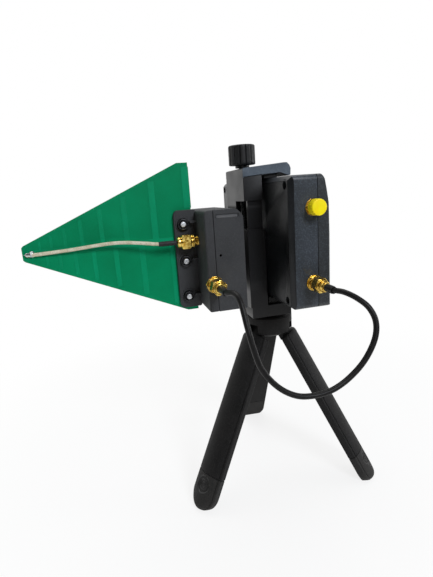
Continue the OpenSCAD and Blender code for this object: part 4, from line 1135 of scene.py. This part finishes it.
def plugShape(origin, axis, bore, ferrule):
    # body behind the nut, and the crimped ferrule with its pressed waist where it shows
    back = jackSize["start"] + jackSize["nut"]
    end = back + (jackSize["ferrule"] if ferrule else 0.25)
    profile = [[bore, 8.5], [2.9, 8.5], [2.9, back - 0.1], [2.75, back + 0.15]]
    if ferrule:
        profile += [[2.6, back + 0.4], [2.35, back + 1.2], [2.6, end - 0.4]]
    profile += [[2.3, end], [bore, end], [bore, 8.5]]
    return turned(origin, axis, filleted(profile, 0.12), 48)


for name, place, cord, plugNode, nutNode, twist, ferrule in (
        ("feed", "in", feedCord, "feed_plug", "feed_nut", 0.0, False),
        ("jumper_module", "out", jumperCord, "jumper_plug_module", "jumper_nut_module", 0.25, False),
        ("jumper_meter", "lower", jumperCord, "jumper_plug_meter", "jumper_nut_meter", 0.1, True)):
    axis, bore = jacks[place][1], cord["diameter"] / 2 + 0.1
    goldPiece(name + "_coupling_nut", couplingShape(walls[place], axis, twist), nutNode)
    goldPiece(name + "_plug_body", plugShape(walls[place], axis, bore, ferrule), plugNode)


def sleeveShape(origin, axis, start, length, outer, bore):
    # heat-shrink: drawn in over the lead at its far end, with a few faint waves
    along = np.linspace(0, length, 40)
    share = along / length
    radius = outer - (outer - bore - 0.25) * np.clip((share - 0.75) / 0.25, 0, 1) ** 1.5
    radius = radius + 0.05 * np.sin(along * 2.4) * (share < 0.8) - 0.3 * np.exp(-along / 0.35)
    profile = np.stack([radius, along], 1)
    profile = np.concatenate([[[bore, 0]], profile, [[bore, length]], [[bore, 0]]])
    return turned(origin + axis * start, axis, profile, 40)


plugEnd = jackSize["start"] + jackSize["nut"] + jackSize["ferrule"]
for name, node, place, start, length, outer, bore in (
        ("jumper_module_sleeve", "jumper_sleeve_module", "out", -2.3, 9.4, 1.9, 1.55),
        ("jumper_meter_sleeve", "jumper_sleeve_meter", "lower", 0.12, 7.0, 2.2, 1.7),
        ("feed_plug_sleeve", "feed_sleeve", "in", -2.3, 10.8, 1.45, 1.1)):
    makePiece(name, sleeveShape(walls[place], jacks[place][1], plugEnd + start, length, outer, bore), "stand",
              shrinkTube, (node,))

capSize = {"ribs": 20, "ribDepth": 0.07, "edge": 0.7, "dome": 0.25, "bore": 3.2, "bottom": 5.3}


def capShape():
    # cup over the socket: domed face, rounded rim, and shallow grip ribs round its side
    low, high = boxOf("dust_cap")
    middle = (low + high) / 2
    length = high[1] - low[1]
    radius = (high[0] - low[0]) / 2
    sides = capSize["ribs"] * 8
    turn = np.arange(sides) / sides * 2 * np.pi
    ribs = capSize["ribDepth"] * (1 - np.cos(turn * capSize["ribs"]))
    swing = np.linspace(0, np.pi / 2, 8)[1:]
    edge, bore, bottom = capSize["edge"], capSize["bore"], capSize["bottom"]
    shoulder = length - edge - capSize["dome"]
    dome = np.linspace(1, 0, 8)[1:]
    along = np.concatenate([[bottom, bottom, 0, 0], np.linspace(0.2, shoulder, 8),
                            shoulder + edge * np.sin(swing), length - capSize["dome"] * dome ** 2])
    reach = np.concatenate([[0, bore, bore, radius - 0.2], np.full(8, radius),
                            radius - edge * (1 - np.cos(swing)), (radius - edge) * dome])
    ribbed = np.concatenate([np.zeros(4), np.ones(8), np.linspace(1, 0, 7), np.zeros(7)])
    radii = np.maximum(reach[:, None] - ribs[None] * ribbed[:, None], 0)
    return aroundAxis([middle[0], high[1], middle[2]], [0, -1, 0], along, radii)


makePiece("dust_cap_cup", capShape(), "cap", capVinyl, ("dust_cap",))
print("stage: connectors")

# ---- antenna board ----

for node, width, slotName, material in (
        ("antenna_board", 0.18, "board_green", antennaMask),
        ("copper_front", 0.1, "copper_masked", copperMask),
        ("copper_back", 0.1, "copper_masked", copperMask)):
    bevelledCopy(node, width, "stand", material, segments=2)


def tipShape():
    # solder mound near the lead's end, a tinned ring and sleeve of its braid, and the centre pin
    end = feedPath[0]
    boardFace = boxOf("antenna_board")[0][1]
    mound = turned([end[0] + 3.0, boardFace + 0.02, end[2]], [0, -1, 0],
                   [[0, 0], [2.0, 0], [1.9, 0.35], [1.5, 0.9], [1.0, 1.3], [0.5, 1.5], [0, 1.55]], 40)
    ring = turned([end[0] + 3.4, end[1], end[2]], [-1, 0, 0],
                  [[0, 0], [1.15, 0], [1.35, 0.2], [1.4, 0.7], [1.35, 1.2], [1.12, 1.5], [1.06, 3.2],
                   [0.7, 3.5], [0, 3.55]], 32)
    pin = turned([end[0] + 0.2, end[1], end[2]], [-1, -0.02, 0.05],
                 [[0, 0], [0.34, 0], [0.34, 0.9], [0.22, 1.15], [0, 1.2]], 16)
    return joined([mound, ring, pin])


makePiece("tip_solder_joint", tipShape(), "stand", tinSolder, ("tip_solder",))
print("stage: antenna")

# ---- room ----

roomLook = {"floor": "#f6f6f5", "half": 0.46, "drop": 0.0002, "fadeStart": 0.06, "fadeEnd": 0.4,
            "nearWhite": 0.82, "back": 1.0, "front": 0.04, "softShare": 0.5}


def makeFloor():
    # matte white sheet; for the camera it goes over to plain white away from the object
    half, drop = roomLook["half"], -roomLook["drop"]
    mesh = bpy.data.meshes.new("studioFloor")
    mesh.from_pydata([(-half, -half, drop), (half, -half, drop), (half, half, drop), (-half, half, drop)],
                     [], [(0, 1, 2, 3)])
    floor = addObject("studioFloor", mesh)
    material, tree, shader, place = newMaterial("paperMatteWhite")
    fill(tree, shader, {
        "Base Color": toLinear(roomLook["floor"]), "Roughness": 0.9, "Specular IOR Level": 0.1})
    centred = addNode(tree, "ShaderNodeMapping", {"Vector": place, "Location": (-0.044, 0.009, 0)}).outputs[0]
    away = addNode(tree, "ShaderNodeVectorMath", {0: centred}, operation="LENGTH").outputs["Value"]
    fade = addNode(tree, "ShaderNodeMapRange", {
        "Value": away, "From Min": roomLook["fadeStart"], "From Max": roomLook["fadeEnd"],
        "To Min": roomLook["nearWhite"]}, interpolation_type="SMOOTHSTEP").outputs[0]
    rays = addNode(tree, "ShaderNodeLightPath").outputs
    seen = addNode(tree, "ShaderNodeMath", {0: rays["Is Camera Ray"], 1: rays["Is Glossy Ray"]},
                   operation="MAXIMUM").outputs[0]
    seen = addNode(tree, "ShaderNodeMath", {0: seen, 1: rays["Is Transmission Ray"]},
                   operation="MAXIMUM").outputs[0]
    factor = addNode(tree, "ShaderNodeMath", {0: seen, 1: fade}, operation="MULTIPLY").outputs[0]
    white = addNode(tree, "ShaderNodeEmission", {"Color": (1, 1, 1, 1), "Strength": 1.0}).outputs[0]
    mixed = addNode(tree, "ShaderNodeMixShader", {0: factor, 1: shader.outputs[0], 2: white})
    output = next(node for node in tree.nodes if node.type == "OUTPUT_MATERIAL")
    tree.links.new(mixed.outputs[0], output.inputs[0])
    mesh.materials.append(material)


def makeWorld():
    # white for the camera; for other rays bright behind the object and dim behind the camera
    world = bpy.data.worlds.new("studio")
    bpy.context.scene.world = world
    world.use_nodes = True
    tree = world.node_tree
    tree.nodes.clear()
    output = addNode(tree, "ShaderNodeOutputWorld")
    ray = addNode(tree, "ShaderNodeTexCoord").outputs["Generated"]
    parts = addNode(tree, "ShaderNodeSeparateXYZ", {"Vector": ray})
    depth = addNode(tree, "ShaderNodeMapRange", {
        "Value": parts.outputs["Y"], "From Min": -0.35, "From Max": 0.45, "To Min": roomLook["front"],
        "To Max": roomLook["back"]}, interpolation_type="SMOOTHSTEP").outputs[0]
    rays = addNode(tree, "ShaderNodeLightPath").outputs
    seen = addNode(tree, "ShaderNodeMath", {0: rays["Is Camera Ray"], 1: rays["Is Transmission Ray"]},
                   operation="MAXIMUM").outputs[0]
    soft = addNode(tree, "ShaderNodeMath", {0: depth, 1: roomLook["softShare"]},
                   operation="MULTIPLY").outputs[0]
    sharp = addNode(tree, "ShaderNodeMix", {"Factor": rays["Is Glossy Ray"], "A": soft, "B": depth},
                    data_type="FLOAT").outputs["Result"]
    level = addNode(tree, "ShaderNodeMix", {"Factor": seen, "A": sharp, "B": 1.0}, data_type="FLOAT")
    light = addNode(tree, "ShaderNodeBackground", {
        "Color": (1, 1, 1, 1), "Strength": level.outputs["Result"]})
    tree.links.new(light.outputs[0], output.inputs[0])


def makeLamp(name, place, aim, size, power, colour):
    data = bpy.data.lights.new(name, "AREA")
    data.shape = "DISK"
    data.size = size
    data.energy = power
    data.color = toLinear(colour)[:3]
    lamp = addObject(name, data)
    lamp.location = place
    lamp.rotation_euler = (Vector(aim) - Vector(place)).to_track_quat("-Z", "Y").to_euler()


makeFloor()
makeWorld()
makeLamp("keyRight", (0.3, -1.27, 0.95), (0.0, 0.0, 0.16), 0.5, 14, "#f4f8ff")
makeLamp("fillFront", (-0.35, -1.25, 0.45), (0.0, 0.0, 0.16), 0.8, 1.2, "#fff8f0")
makeLamp("rimRight", (1.3, -0.35, 0.35), (0.0, 0.0, 0.1), 0.5, 4, "#ffffff")
makeLamp("overhead", (0.0, 0.2, 1.3), (0.0, 0.0, 0.1), 0.9, 6, "#ffffff")
bpy.context.scene.view_settings.view_transform = "Standard"
print("stage: room")
